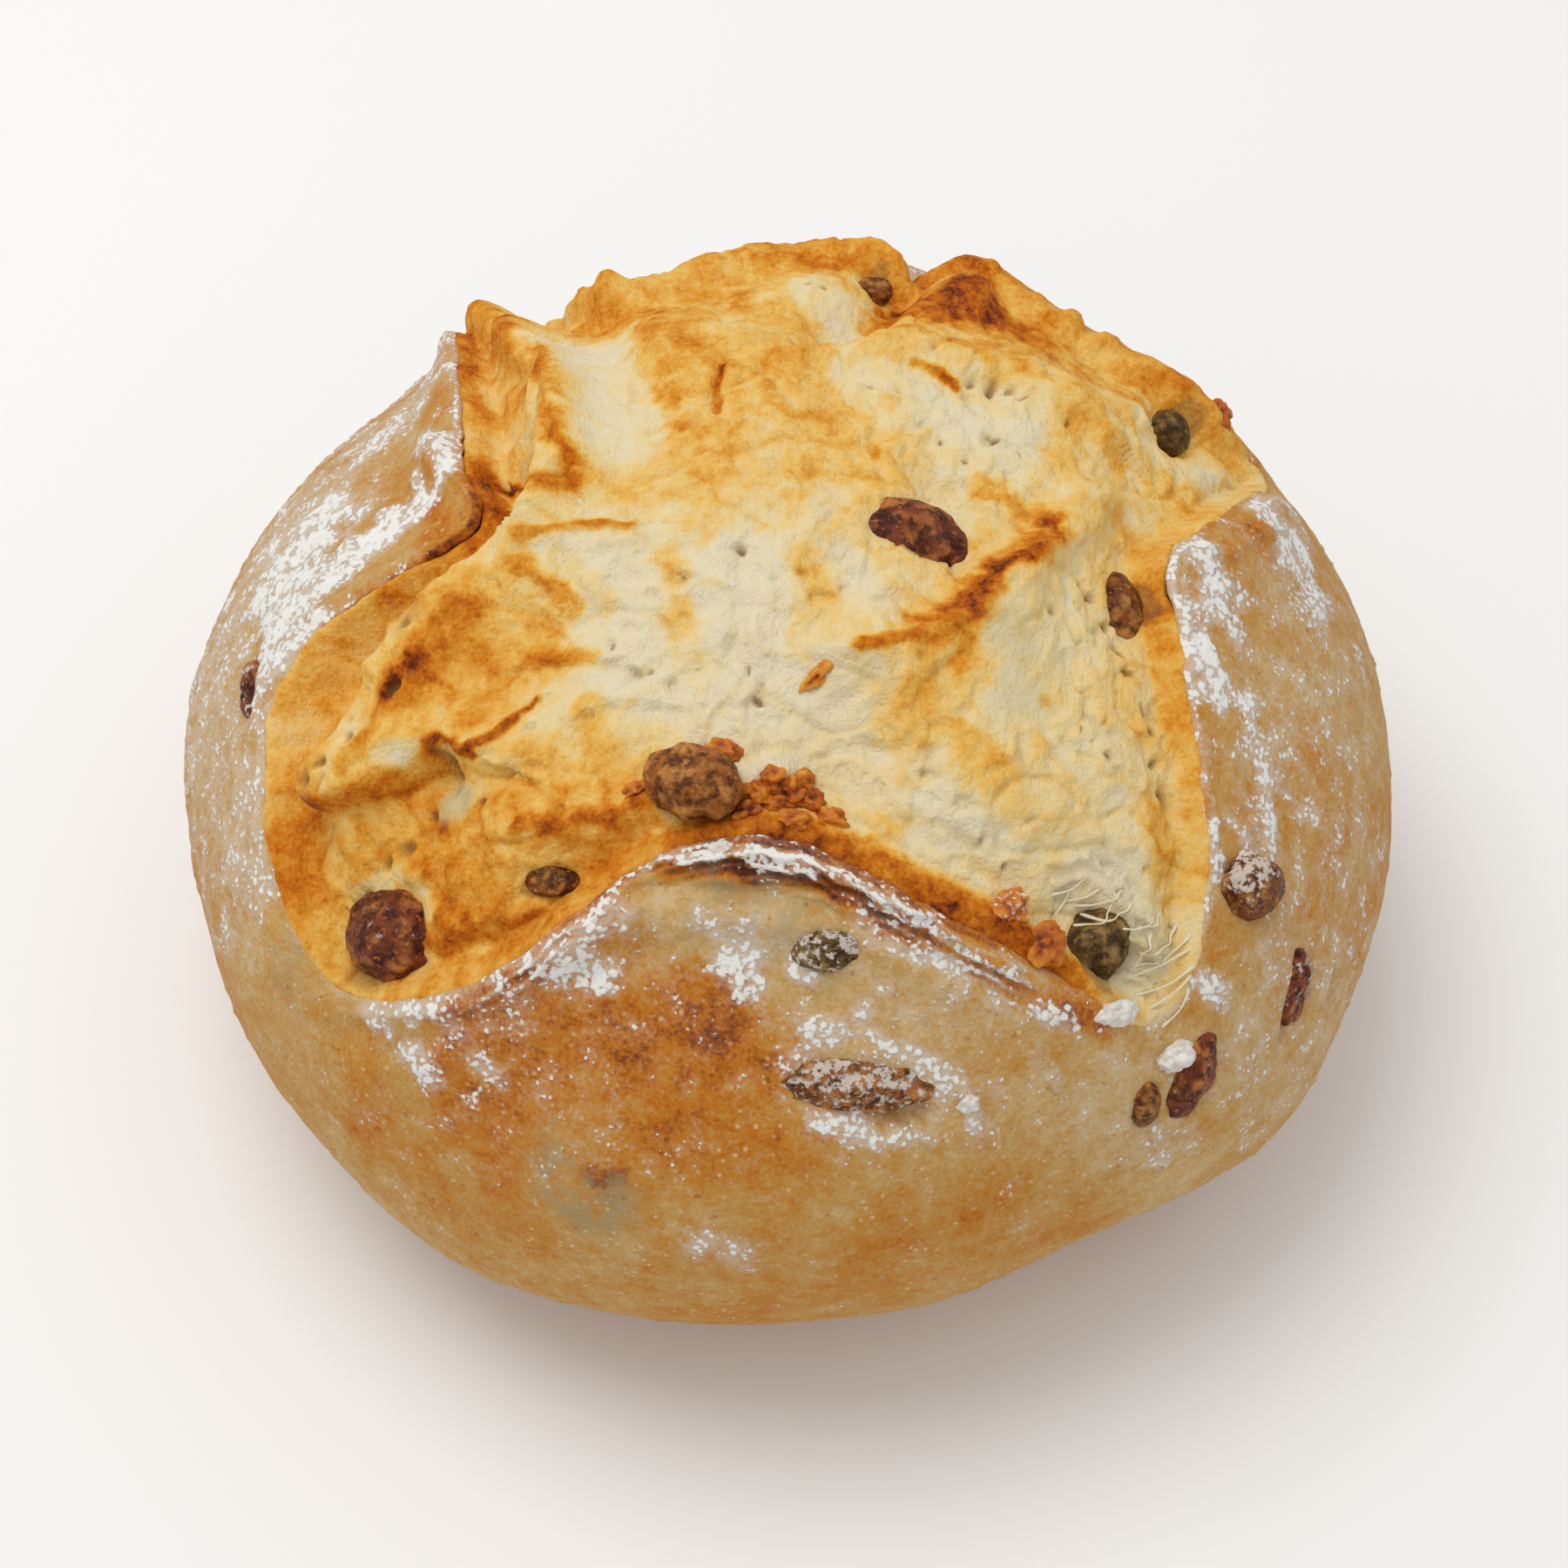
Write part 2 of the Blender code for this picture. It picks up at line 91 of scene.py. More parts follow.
# How far the crust sinks where the crumb laps over it, and the spacing of its rows near the edge and far from it
CRUMB_OVER_CRUST = 1.5
EDGE_ROW = 0.45
FAR_ROW = 1.75

# Unevenness, in millimetres
CRUST_WAVE = 1.1
CRUST_WAVE_LENGTH = 34.0
CRUMB_LUMP = 2.0
CRUMB_LUMP_LENGTH = 13.0
CALM_BESIDE_EDGE = 3.0
CRUMB_SETTLES = (0.88, 1.0)
CRUST_SETTLES = (0.55, 0.9)

# The edge's rounded profile, from its underside over the nose to the top: inset and drop, in edge thicknesses
NOSE = ((0.7, 1.0), (0.32, 0.93), (0.08, 0.76), (0.0, 0.55), (0.05, 0.33), (0.2, 0.13), (0.42, 0.0))

OLIVE_WRINKLE = 0.07
OLIVE_MESH_STEP = 0.36
OLIVE_WRINKLES_ACROSS = 2.3
OLIVE_POINTS_AROUND = (60, 150)
OLIVE_FOLD = 0.42
OLIVE_CREASE = 0.20
OLIVE_ROUGHNESS = 0.08

# How much of a touch's reach is soft and how much its edge frays, as shares of the reach
TOUCH_SOFT = 0.8
TOUCH_FRAY = 0.38

# The folded-under part of the crust's edge: how far in and down each of its rows lies
UNDERSIDE = ((3.6, 2.2), (2.9, 1.0))

# Fineness of the baked-on bits and the strings of dough
KNOB_POINTS = (44, 30)
STRAND_STEPS = 26
STRAND_SIDES = 8

# How far outside the loaf the rays start that find its surface, in metres
RAY_START = 0.2

# Large odd numbers that scatter the numbers of cells, and how far each seed moves the noise
CELL_FACTORS = (73856093, 19349663, 83492791)
MIXING_FACTOR = 1274126177
SEED_STEP = 17.31

# The camera's target and the floor's level, in millimetres, the sensor's width, and the lamp in metres
CAMERA_TARGET = (-0.36, -0.42, 37.7)
FLOOR_LEVEL = -0.2
SENSOR_WIDTH = 36
LAMP_PLACE = (-0.28, 0.08, 1.05)
LAMP_TARGET = (0, 0, 0.05)
LAMP_SIZE = 0.7
LAMP_COLOUR = (1.0, 0.985, 0.96)


class RimPoint(NamedTuple):
    """A point of the rim.

    Its chart place and the lifts of the crust's edge and of the crumb under it; the edge's thickness; 1 where the
    crust lies over the crumb and 0 where the crumb laps over the crust; the width of the strip of crumb that rolls
    up to the edge; how toasted that strip is and how far in it reaches; how baked and how floury the edge is.
    """

    x: float
    y: float
    edge: float
    crumb: float
    lip: float
    over: float
    roll: float
    glow: float
    reach: float
    bake: float
    flour: float


class Fold(NamedTuple):
    """A ridge (or, with a negative height, a furrow) along a line on the chart, with a reach on each side."""

    line: tuple
    height: float
    left: float
    right: float


class Bump(NamedTuple):
    """A round swelling, or with a negative height a hollow."""

    x: float
    y: float
    radius: float
    height: float


class Olive(NamedTuple):
    """An olive piece: its chart place, size, turn in degrees, and its finish."""

    x: float
    y: float
    length: float
    width: float
    depth: float
    turn: float
    finish: str


class Touch(NamedTuple):
    """A brushed patch: the level that it brings and how far it reaches from its line, softly."""

    level: float
    reach: float
    line: tuple


class Knob(NamedTuple):
    """A bit baked onto the loaf: its chart place, size, turn in degrees and how far it stands out."""

    x: float
    y: float
    length: float
    width: float
    depth: float
    turn: float
    proud: float


class Strand(NamedTuple):
    """A string of dough between two chart places: how high it stands in its middle, its bow and its radius."""

    start: tuple
    end: tuple
    height: float
    bow: float
    radius: float


def rim_points(*rows):
    return tuple(RimPoint(*row) for row in rows)


def folds(*rows):
    """Folds from rows with the height, the reach on the left, the reach on the right and the line's places."""
    return tuple(Fold(tuple(row[3:]), *row[:3]) for row in rows)


def bumps(*rows):
    """Bumps from rows with the place, the radius and the height."""
    return tuple(Bump(*row) for row in rows)


def touches(*rows):
    """Touches from rows with the level, the reach and the line's places."""
    return tuple(Touch(*row[:2], tuple(row[2:])) for row in rows)


def knobs(*rows):
    """Knobs from rows with the place, the length, the width, the depth, the turn and how far it stands out."""
    return tuple(Knob(*row) for row in rows)


def strands(*rows):
    """Strands from rows with the two places, the height, the bow and the radius."""
    return tuple(Strand(*row) for row in rows)


FRONT_PETAL = rim_points(
    (-84, -88, 1, -2.5, 0.6, 1, 0, 0.42, 3, 0.4, 0.3),
    (-69, -91, 3, -3, 0.7, 1, 0, 0.5, 4, 0.45, 0.5),
    (-54, -91, 4.5, -4, 0.9, 1, 0, 0.58, 5, 0.6, 0.6),
    (-42, -87, 5.5, -4, 1.1, 1, 0, 0.6, 5, 0.68, 0.5),
    (-30, -81, 6, -3, 1.4, 1, 0.5, 0.64, 5, 0.74, 0.5),
    (-20, -77, 6.5, -2, 1.9, 1, 1, 0.72, 4, 0.78, 0.6),
    (-8, -75.5, 7, -2, 2.2, 1, 1.5, 0.8, 4.5, 0.8, 0.6),
    (4, -77, 7, -2, 2.2, 1, 2.2, 0.79, 5.5, 0.8, 0.6),
    (18, -82, 6, -3, 2.2, 1, 2.8, 0.78, 6, 0.78, 0.5),
    (32, -87, 5, -4, 2, 1, 2.8, 0.78, 6, 0.76, 0.4),
    (46, -91, 4, -4, 1.5, 1, 2.4, 0.76, 5.5, 0.72, 0.3),
    (60, -95, 2.5, -3, 0.9, 1, 1.5, 0.6, 4, 0.6, 0.3),
    (70, -96, 1, -1.5, 0.6, 1, 0.5, 0.34, 3, 0.45, 0.6),
)
RIGHT_PETAL = rim_points(
    (77, -88, 1.5, -1.5, 0.5, 1, 0, 0.28, 3, 0.4, 0.4),
    (80, -70, 2.5, -1.5, 0.8, 1, 0, 0.42, 3, 0.5, 0.6),
    (79, -50, 3, -1.5, 0.9, 1, 0, 0.5, 3.5, 0.64, 0.4),
    (77, -28, 3.5, -1.5, 1.1, 1, 0, 0.56, 4, 0.5, 0.85),
    (76, -8, 4, -1.5, 1.4, 1, 0, 0.54, 4.5, 0.5, 0.95),
    (85, 5, 3, -2, 0.9, 1, 0, 0.42, 6, 0.66, 0.2),
    (96, 22, 2.5, -3, 0.6, 1, 0, 0.38, 7, 0.5, 0.2),
    (106, 40, 1, -3, 0.6, 0.6, 0, 0.32, 5, 0.45, 0.2),
)
BACK_PETAL = rim_points(
    (98, 46, 3, -1, 1, 0, 0, 0.5, 6, 0.62, 0),
    (84, 50, 5, 2, 1, 0, 0, 0.56, 7, 0.66, 0),
    (70, 56, 5.5, 3, 1, 0, 0, 0.56, 7, 0.66, 0),
    (52, 66, 6, 3.5, 1, 0, 0, 0.6, 7, 0.7, 0),
    (38, 76, 6.5, 3.5, 1, 0, 0, 0.74, 8, 0.78, 0),
    (28, 72, 1.5, 0, 1, 0, 0, 0.64, 5, 0.72, 0),
    (14, 78, 6, 3.5, 1, 0, 0, 0.62, 8, 0.62, 0),
    (-8, 75, 5, 3, 1, 0, 0, 0.58, 8, 0.56, 0),
    (-26, 68, 5, 3, 1, 0, 0, 0.52, 7, 0.6, 0),
    (-36, 66, 5, 2.5, 1, 0, 0, 0.6, 6, 0.7, 0),
    (-49, 77, 1.5, -2, 1, 0, 0, 0.4, 4, 0.5, 0),
    (-60, 86.5, -0.5, -3.5, 1, 0, 0, 0.4, 6, 0.62, 0.1),
    (-72, 94, 1, -2.5, 0.8, 0.5, 0, 0.5, 5, 0.5, 0.4),
)
LEFT_PETAL = rim_points(
    (-75.5, 83, 3, -3, 0.8, 1, 0, 0.6, 4, 0.4, 0.6),
    (-70.5, 68, 5, -3, 0.9, 1, 0, 0.66, 3, 0.5, 0.6),
    (-68, 47, 4.5, -3, 1, 1, 0, 0.74, 2.5, 0.6, 0.6),
    (-66, 26, 4.5, -4, 1.2, 1, 0, 0.56, 3, 0.55, 0.7),
    (-64, 10, 5, -4, 1.6, 1, 0, 0.8, 3, 0.6, 0.5),
    (-60, -2, 4.5, -3.5, 1.8, 1, 0, 0.8, 4, 0.72, 0.1),
    (-66, -9, 4, -4, 1.4, 1, 0, 0.66, 4, 0.8, 0.1),
    (-80, -14, 3.5, -5, 0.9, 1, 0, 0.54, 5, 0.74, 0.3),
    (-93, -20, 3, -5.5, 0.6, 1, 0, 0.52, 6, 0.55, 0.6),
    (-100, -32, 3, -6, 0.5, 1, 0, 0.48, 6, 0.4, 0.6),
    (-101, -48, 2.5, -6, 0.45, 1, 0, 0.5, 5, 0.4, 0.5),
    (-99, -63, 2, -5, 0.45, 1, 0, 0.62, 6, 0.46, 0.3),
    (-93, -78, 1.5, -3.5, 0.5, 1, 0, 0.44, 5, 0.46, 0.2),
)

SWELLS = bumps(
    (-98, 88, 52, -4.5), (-140, 30, 34, -1.5), (104, 80, 46, -5.5), (92, -168, 38, -5.5), (20, -190, 46, -2.5),
    (138, -108, 26, 3), (-92, -160, 30, 2), (-158, -52, 36, -2.5),
)

# The forms of the crumb that the model's solid has too
CRUMB_FOLDS = folds(
    (6.5, 12, 5, (-54, -15), (-64, -22), (-75, -29), (-80, -38), (-84, -46), (-92, -51)),
    (3, 9, 3, (-94, -49), (-85, -52), (-78, -54), (-72, -52), (-65, -51), (-57, -56)),
    (-3, 7, 7, (-88, -28), (-94, -42), (-95, -58)),
    (3, 5, 7, (-52, -69), (-37, -70), (-27, -70), (-18, -67), (0, -67)),
    (5.5, 7, 5.5, (-66, 76), (-58, 57), (-52, 42), (-48, 28), (-46, 16), (-45, 4), (-49, -5)),
    (2.2, 3, 9, (-58, -7), (-46, -9), (-33, -12)),
    (3.5, 8, 4, (60, 2), (50, -15), (42, -26), (35, -34), (24, -41), (12, -42)),
    (3.2, 9, 4.5, (2, 36), (14, 36), (25, 39), (36, 35), (46, 36), (54, 31), (66, 24)),
    (-2.5, 6, 6, (29, 74), (22, 60), (10, 48), (4, 40)), (2.5, 26, 26, (-30, 8), (0, -20), (40, -50)),
)
CRUMB_BUMPS = bumps(
    (-66, 80, 7, 2.5), (-55, 78, 6, -3), (41, 68, 8, 4), (-20, 45, 13, 2.5), (-50, 40, 7, -2.5), (-68, -57, 5, -2.5),
    (34, -3, 9, -2.5), (57, -80, 9, -2.5), (-78, -76, 9, -1.5), (-28, 24, 12, -1.8), (86, 38, 7, -2.5),
    (-93, -56, 6, -2.5),
)

# Lumps along the torn edge, on both the crust and the crumb
CREST_LUMPS = bumps(
    (-52, 79, 4, -3), (-58, 84, 4, -3.2), (-63, 88, 3.5, -1), (-69, 92, 4, 1.6), (-26, 69, 6, -1.8),
    (3, 77, 11, -1.8), (19, 76, 4, 1.8), (31, 73, 3, -1), (24, 74, 3, 2.2), (44, 72, 9, -1.2), (85, 51, 9, 1),
    (-37, 67, 3.5, 1.6), (-32, 69, 2.5, 0.6), (36, 77, 3, -0.3), (42, 74, 2.2, 1), (47, 70, 2, 0.8), (52, 66, 2, 0.7),
    (60, 62, 2.4, 0.9), (66, 58, 2, 0.6), (76, 55, 3, 1.1), (84, 51, 2.2, 0.8), (91, 48, 2.4, 1.2),
    (100, 45, 3, -1.4), (56, 64, 2, -0.7), (63, 60, 3, -1.6), (71, 56, 1.8, -0.6),
)

# The crumb's smaller tears, lips and strings
CRUMB_TEARS = folds(
    (1, 3.5, 1.2, (-62, -27), (-68, -34), (-72, -41), (-76, -47), (-82, -52)),
    (1.6, 4, 0.9, (-88, -55), (-80, -56), (-73, -57), (-68, -54), (-63, -51), (-58, -54)),
    (0.9, 3, 0.7, (-57, -54), (-54, -53), (-50, -49), (-47, -48)),
    (1, 0.9, 3, (-48, -69), (-40, -70), (-30, -70), (-22, -68)),
    (1.3, 4, 1, (-50, 44), (-47, 30), (-44, 18), (-41, 4), (-39, -4)),
    (0.7, 0.8, 3, (-49, -15), (-40, -14), (-30, -15)), (1, 1.2, 4, (-49, -20), (-46, -25), (-42, -30)),
    (0.8, 3.5, 1, (-50, -40), (-42, -40), (-34, -42)), (-0.9, 0.8, 1.4, (-12, 31), (-14, 24), (-14, 17)),
    (0.9, 3.5, 0.8, (27, 32), (32, 31), (37, 28)), (0.8, 3.5, 0.9, (38, 31), (44, 31), (50, 27), (58, 24)),
    (1, 3, 1.2, (50, -15), (44, -20), (38, -27), (34, -34), (28, -38)),
    (0.6, 1.6, 0.8, (31, -36), (24, -39), (18, -42), (12, -43)),
    (-0.7, 1.6, 1.6, (-8, -22), (-9, -36), (-8, -50), (-4, -62)),
    (0.8, 0.9, 2.6, (-72, -69), (-66, -70), (-60, -76), (-54, -82)),
    (1.6, 1.6, 3.4, (8, -71), (18, -74), (28, -78), (40, -83), (52, -89), (62, -94)),
    (0.8, 2, 2, (-66, -81), (-58, -84), (-50, -84)), (1, 0.8, 0.8, (50, -75), (58, -73), (66, -77), (72, -86)),
    (0.9, 0.7, 0.7, (52, -79), (58, -76), (65, -79), (70, -86)), (0.8, 0.7, 0.7, (64, -90), (70, -90), (75, -95)),
    (0.8, 0.7, 0.7, (64, -84), (70, -85), (75, -89)), (0.7, 0.6, 0.6, (67, -80), (72, -81), (76, -85)),
    (0.7, 1, 2, (22, 3), (28, 7), (36, 2), (42, -4)), (-0.6, 1.6, 1.6, (70, -26), (66, -34), (67, -44), (71, -54)),
    (0.7, 1.4, 4, (56, 22), (62, 12), (66, 0)), (0.8, 2, 3, (-84, -24), (-88, -34), (-88, -44)),
    (0.8, 3, 1.6, (-40, -52), (-30, -50), (-18, -53)), (0.8, 1.6, 4, (-38, -26), (-28, -32), (-18, -30)),
    (0.7, 1.6, 3.5, (2, -24), (8, -34), (20, -34)), (0.8, 1.6, 4, (36, -56), (48, -60), (58, -68)),
    (0.8, 1.6, 4, (-30, 40), (-18, 34), (-4, 36)), (0.8, 4, 1.6, (54, 46), (66, 38), (78, 36)),
)

PITS = bumps(
    (-70, -27, 1.5, 1.2), (-71.5, -39.5, 1.3, 2.2), (-87, -50, 1.6, 1.3), (-84, -48, 1.1, 1), (-90, -53, 1.2, 1.1),
    (-80, -45, 1, 0.9), (-75, -68, 1.7, 1.6), (-79, -69, 1.2, 1.1), (-83, -73, 1.3, 1), (-69, -64, 1.1, 1),
    (-57, -64, 0.9, 0.7), (-65, -55, 3.2, 2.6), (-8, -22, 1.1, 1.4), (39, 30, 1, 1.4), (43, 30, 1.4, 1.9),
    (46.5, 28.5, 1.2, 1.6), (49, 26, 0.9, 1.1), (58, 22, 1, 0.9), (18, 27, 0.9, 0.7), (63, -21, 1.5, 1.6),
    (66, -27, 1.3, 1.6), (68, -32, 1.2, 1.5), (69, -36, 1.2, 1.3), (60, -19, 0.8, 0.7), (71, -43, 1, 1.2),
    (72, -47, 1, 1.2), (72.5, -53, 1.4, 1.7), (74.5, -59, 2, 2.4), (61, -55, 1, 1), (58, -53, 0.6, 0.5),
    (56, -51.5, 0.6, 0.5), (84, 42, 2.4, 2.6), (87, 38, 2.2, 2.4), (74, -78, 0.7, 0.7), (76, -80, 0.7, 0.7),
    (75, -83, 0.7, 0.7), (41, -78, 0.9, 0.9), (8, 63, 0.9, 0.7), (5, 64, 0.8, 0.6), (-7, -47, 0.7, 0.7),
    (-5, -53, 0.9, 0.8), (-26, -46, 0.8, 0.7), (-33, -40, 0.9, 0.7), (33, 12, 0.7, 0.6), (38, 8, 0.7, 0.6),
    (44, 14, 0.8, 0.6), (48, 10, 0.7, 0.5), (-69, 38, 1.4, 1),
)

# How far the crumb is toasted: 0 is pale cream, 0.45 gold, 0.65 orange, 0.8 toasted brown and 1 dark brown
CRUMB_TOAST_BASE = 0.3
CRUMB_TOAST = touches(
    # the ground colours
    (0.46, 42, (-30, 58), (-12, 46), (2, 30)), (0.4, 26, (-22, 24), (-12, 4)),
    (0.48, 24, (-62, -30), (-50, -38), (-44, -30)), (0.46, 22, (-92, -28), (-84, -34), (-90, -46)),
    (0.52, 28, (-86, -66), (-64, -74), (-40, -78)), (0.1, 16, (-44, -18), (-32, -20), (-22, -28)),
    (0.1, 18, (-32, -42), (-22, -46), (-16, -54)), (0.06, 12, (-4, -4), (2, -14)),
    (0.05, 14, (-8, -24), (-6, -42), (0, -56)), (0.12, 24, (8, -56), (24, -62), (40, -68)),
    (0.24, 22, (56, -32), (62, -54), (64, -70)), (0.34, 22, (60, 18), (70, 8), (78, 0)),
    (0.42, 20, (52, 52), (68, 44), (80, 40)), (0.1, 16, (30, 22), (44, 12), (44, 0)),
    (0.18, 12, (42, -34), (44, -46)),
    # the back half
    (0.52, 12, (-40, 74), (-22, 66), (0, 68), (16, 74)), (0.6, 9, (-38, 74), (-31, 68)),
    (0.58, 12, (-32, 60), (-24, 54)), (0.6, 6, (-6, 76), (10, 79), (20, 76)), (0.62, 5, (-27, 60), (-22, 48)),
    (0.62, 7, (-22, 43), (-19, 35)), (0.44, 12, (-10, 6), (-2, -2)), (0.6, 8, (-24, 30), (-22, 12)),
    (0.52, 8, (-14, 34), (-13, 12)), (0.84, 1.1, (-12, 31), (-14, 24), (-14, 17)),
    (0.14, 9, (4, 63), (12, 57), (18, 50)), (0.72, 1.8, (15, 42)), (0.7, 15, (28, 60), (40, 64), (50, 58)),
    (1, 8, (35, 58), (41, 60)), (0.86, 3, (26, 68), (30, 66)), (0.5, 9, (26, 44), (36, 42), (46, 40)),
    (0.58, 6, (54, 60), (66, 54), (80, 50), (92, 48)), (0.8, 1.3, (69, 55), (70, 52), (75, 51), (78, 54)),
    (0.12, 9, (14, 28), (26, 24)), (0.76, 1.4, (27, 32), (32, 31), (36, 28)), (0.42, 6, (12, 19), (14, 12)),
    (0.56, 2.5, (18, 9), (19, 5)), (0.4, 7, (60, 20), (58, 10)), (0.54, 4, (66, 21), (70, 18)),
    (0.46, 7, (44, -1), (50, -6)), (0.12, 7, (78, 36), (80, 28)), (0.16, 6, (92, 30), (96, 22)),
    (0.56, 8, (72, -1), (78, -4)),
    # the strap beside the left petal
    (0.4, 9, (-64, 44), (-60, 24), (-54, 8)), (0.56, 8, (-70, 86), (-63, 66), (-58, 54)),
    (0.5, 6, (-60, 46), (-57, 38)), (0.7, 4, (-60, 62), (-57, 52)), (0.56, 6, (-55, 46), (-52, 34)),
    (0.72, 4.5, (-50, 44), (-47, 30), (-44, 18)), (0.66, 5, (-46, 22), (-43, 8), (-40, -2)),
    (0.7, 4, (-54, 1), (-44, -3)), (0.2, 2.6, (-49, 3)), (0.08, 12, (-41, 48), (-36, 28), (-31, 8)),
    (0.97, 3.6, (-65, 12), (-60, 8), (-55, 6)),
    # the left arm
    (0.34, 5, (-58, -14), (-50, -14)), (0.52, 11, (-60, -28), (-56, -38), (-66, -42)),
    (0.44, 8, (-52, -26), (-50, -38)), (0.16, 7, (-46, -50), (-40, -46)), (0.22, 6, (-42, -22), (-38, -26)),
    (0.65, 5, (-60, -28), (-67, -34), (-71, -40), (-75, -46), (-80, -52)),
    (0.66, 3.5, (-49, -20), (-46, -25), (-42, -30)), (0.56, 2.6, (-50, -40), (-42, -40), (-36, -41)),
    (0.62, 1.8, (-49, -15), (-40, -14), (-30, -15)), (0.74, 2.6, (-69, -37), (-73, -43)), (0.58, 3, (-66, -33)),
    (0.97, 1.7, (-71, -38), (-72, -40)), (0.52, 12, (-88, -62), (-78, -66), (-70, -62)),
    (0.3, 4, (-64, -62), (-60, -62)), (0.62, 5, (-80, -56), (-70, -57)),
    (0.74, 3, (-90, -54), (-80, -56), (-73, -57), (-68, -54)),
    (0.9, 1.8, (-68, -53), (-64, -51), (-60, -53), (-57, -55)),
    (0.82, 1.4, (-57, -54), (-54, -53), (-50, -49), (-48, -48)), (0.62, 7, (-70, -70), (-63, -73)),
    (0.68, 11, (-66, -80), (-56, -84), (-50, -86)), (0.66, 8, (-60, -77), (-50, -76)),
    (0.54, 8, (-46, -77), (-30, -75)), (0.74, 2.6, (-48, -69), (-40, -70), (-30, -70), (-22, -68)),
    (0.74, 2, (-57, -64)), (0.72, 1.6, (-66, -66)), (0.3, 5, (-82, -88), (-72, -89)),
    (0.3, 3.2, (-90, -80), (-86, -73), (-79, -71), (-71, -74), (-68, -80)), (0.42, 5, (-90, -70), (-86, -78)),
    # the middle and the right arm
    (0.42, 4, (-37, -50), (-36, -62)), (0.34, 5, (-22, -34), (-20, -38)), (0.36, 5, (-23, -22), (-22, -27)),
    (0.38, 5, (-14, 2), (-15, -18)), (0.36, 9, (-4, -2), (-3, -14)), (0.1, 7, (12, -24), (18, -36)),
    (0.34, 9, (34, -60), (44, -66), (48, -56)), (0.44, 3, (23, -51), (30, -56), (40, -60)),
    (0.38, 4, (3, -24), (9, -36)), (0.45, 10, (28, -40), (26, -50), (23, -58)),
    (0.76, 5.2, (53, -10), (47, -17), (41, -23), (35, -30), (30, -37), (25, -41)),
    (0.9, 2.6, (46, -18), (38, -26), (31, -36)), (0.66, 1.8, (30, -37), (24, -40), (18, -42), (13, -43)),
    (0.6, 3, (31, -37), (32, -44)), (0.52, 2, (49, -47)), (0.42, 8, (72, -64), (74, -80)),
    (0.1, 10, (56, -76), (64, -74), (72, -90)),
)
# Where the crumb is damp and grey-green rather than cream
CRUMB_GREY = touches(
    (0.6, 4.5, (-65, -62), (-60, -62)), (0.3, 6, (-88, -49), (-90, -54)), (0.35, 7, (-78, -20), (-70, -27)),
    (0.4, 6, (-84, -72)), (0.5, 8, (60, -88), (70, -84)), (0.4, 10, (44, -36), (46, -46)), (0.4, 5, (93, 28)),
    (0.6, 2.6, (57.5, -49)), (0.3, 6, (8, 66)), (0.3, 10, (56, 44), (70, 36)), (0.3, 5, (44, 12)),
)
# Where the crumb is a thin smooth skin, without fibres and pores
CRUMB_SKIN = touches(
    (1, 12, (40, -34), (44, -46)), (0.7, 12, (-88, -24), (-92, -42)), (0.6, 12, (-44, 40), (-36, 20)),
    (0.6, 22, (-28, 56), (2, 60), (40, 62), (66, 48)), (0.6, 10, (-42, -75), (-30, -75)),
    (0.6, 12, (-60, -30), (-56, -38)), (0.7, 8, (8, -73), (28, -80), (48, -90)), (0.6, 14, (70, 20), (76, 4)),
)
# Where small pores lie close together
CRUMB_POROUS = touches(
    (1, 6, (-8, -24), (-9, -40), (-6, -58)), (0.7, 10, (32, 14), (44, 8)), (1, 5, (62, -18), (67, -34)),
    (1, 4, (71, -42), (73, -56)), (0.8, 5, (58, -53)), (0.9, 7, (-88, -50)), (0.9, 8, (-82, -72)),
    (0.7, 7, (-66, -60)), (0.7, 12, (20, -66), (36, -72)), (0.6, 6, (-50, -50)), (0.7, 6, (10, 60)),
    (0.6, 8, (10, -14)), (0.8, 6, (74, -80)),
)

# The forms of the crust that the model's solid has too
CRUST_FOLDS = folds(
    (-1.3, 1.8, 1.8, (-26, -82), (-14, -83), (0, -84), (14, -88), (30, -93), (44, -96)),
    (0.8, 3, 3, (-20, -88), (-4, -88), (12, -91), (28, -96)),
    (-1.2, 3, 3.5, (-88, -93), (-72, -98), (-56, -98), (-42, -95), (-26, -92)),
    (0.8, 6, 6, (-72, 20), (-84, 8), (-98, -8)),
)
CRUST_BUMPS = bumps(
    (16, -114, 12, 1.6), (80, -105, 10, 1.4), (9, -95, 7, 1), (-43, -128, 11, 1.5), (93, -66, 8, 1.2),
    (-68, 15, 5, 1.5), (112, -74, 9, 1), (-34, 142, 11, 1.5), (62, 118, 11, 1.5), (-50, 92, 13, -7),
    (-65, 102, 11, -4.5), (-26, 86, 10, -4.5), (4, 92, 11, -3), (-48, 107, 18, -4.5), (-22, 112, 14, -4),
    (34, 108, 11, -3), (25, 91, 12, -6),
)
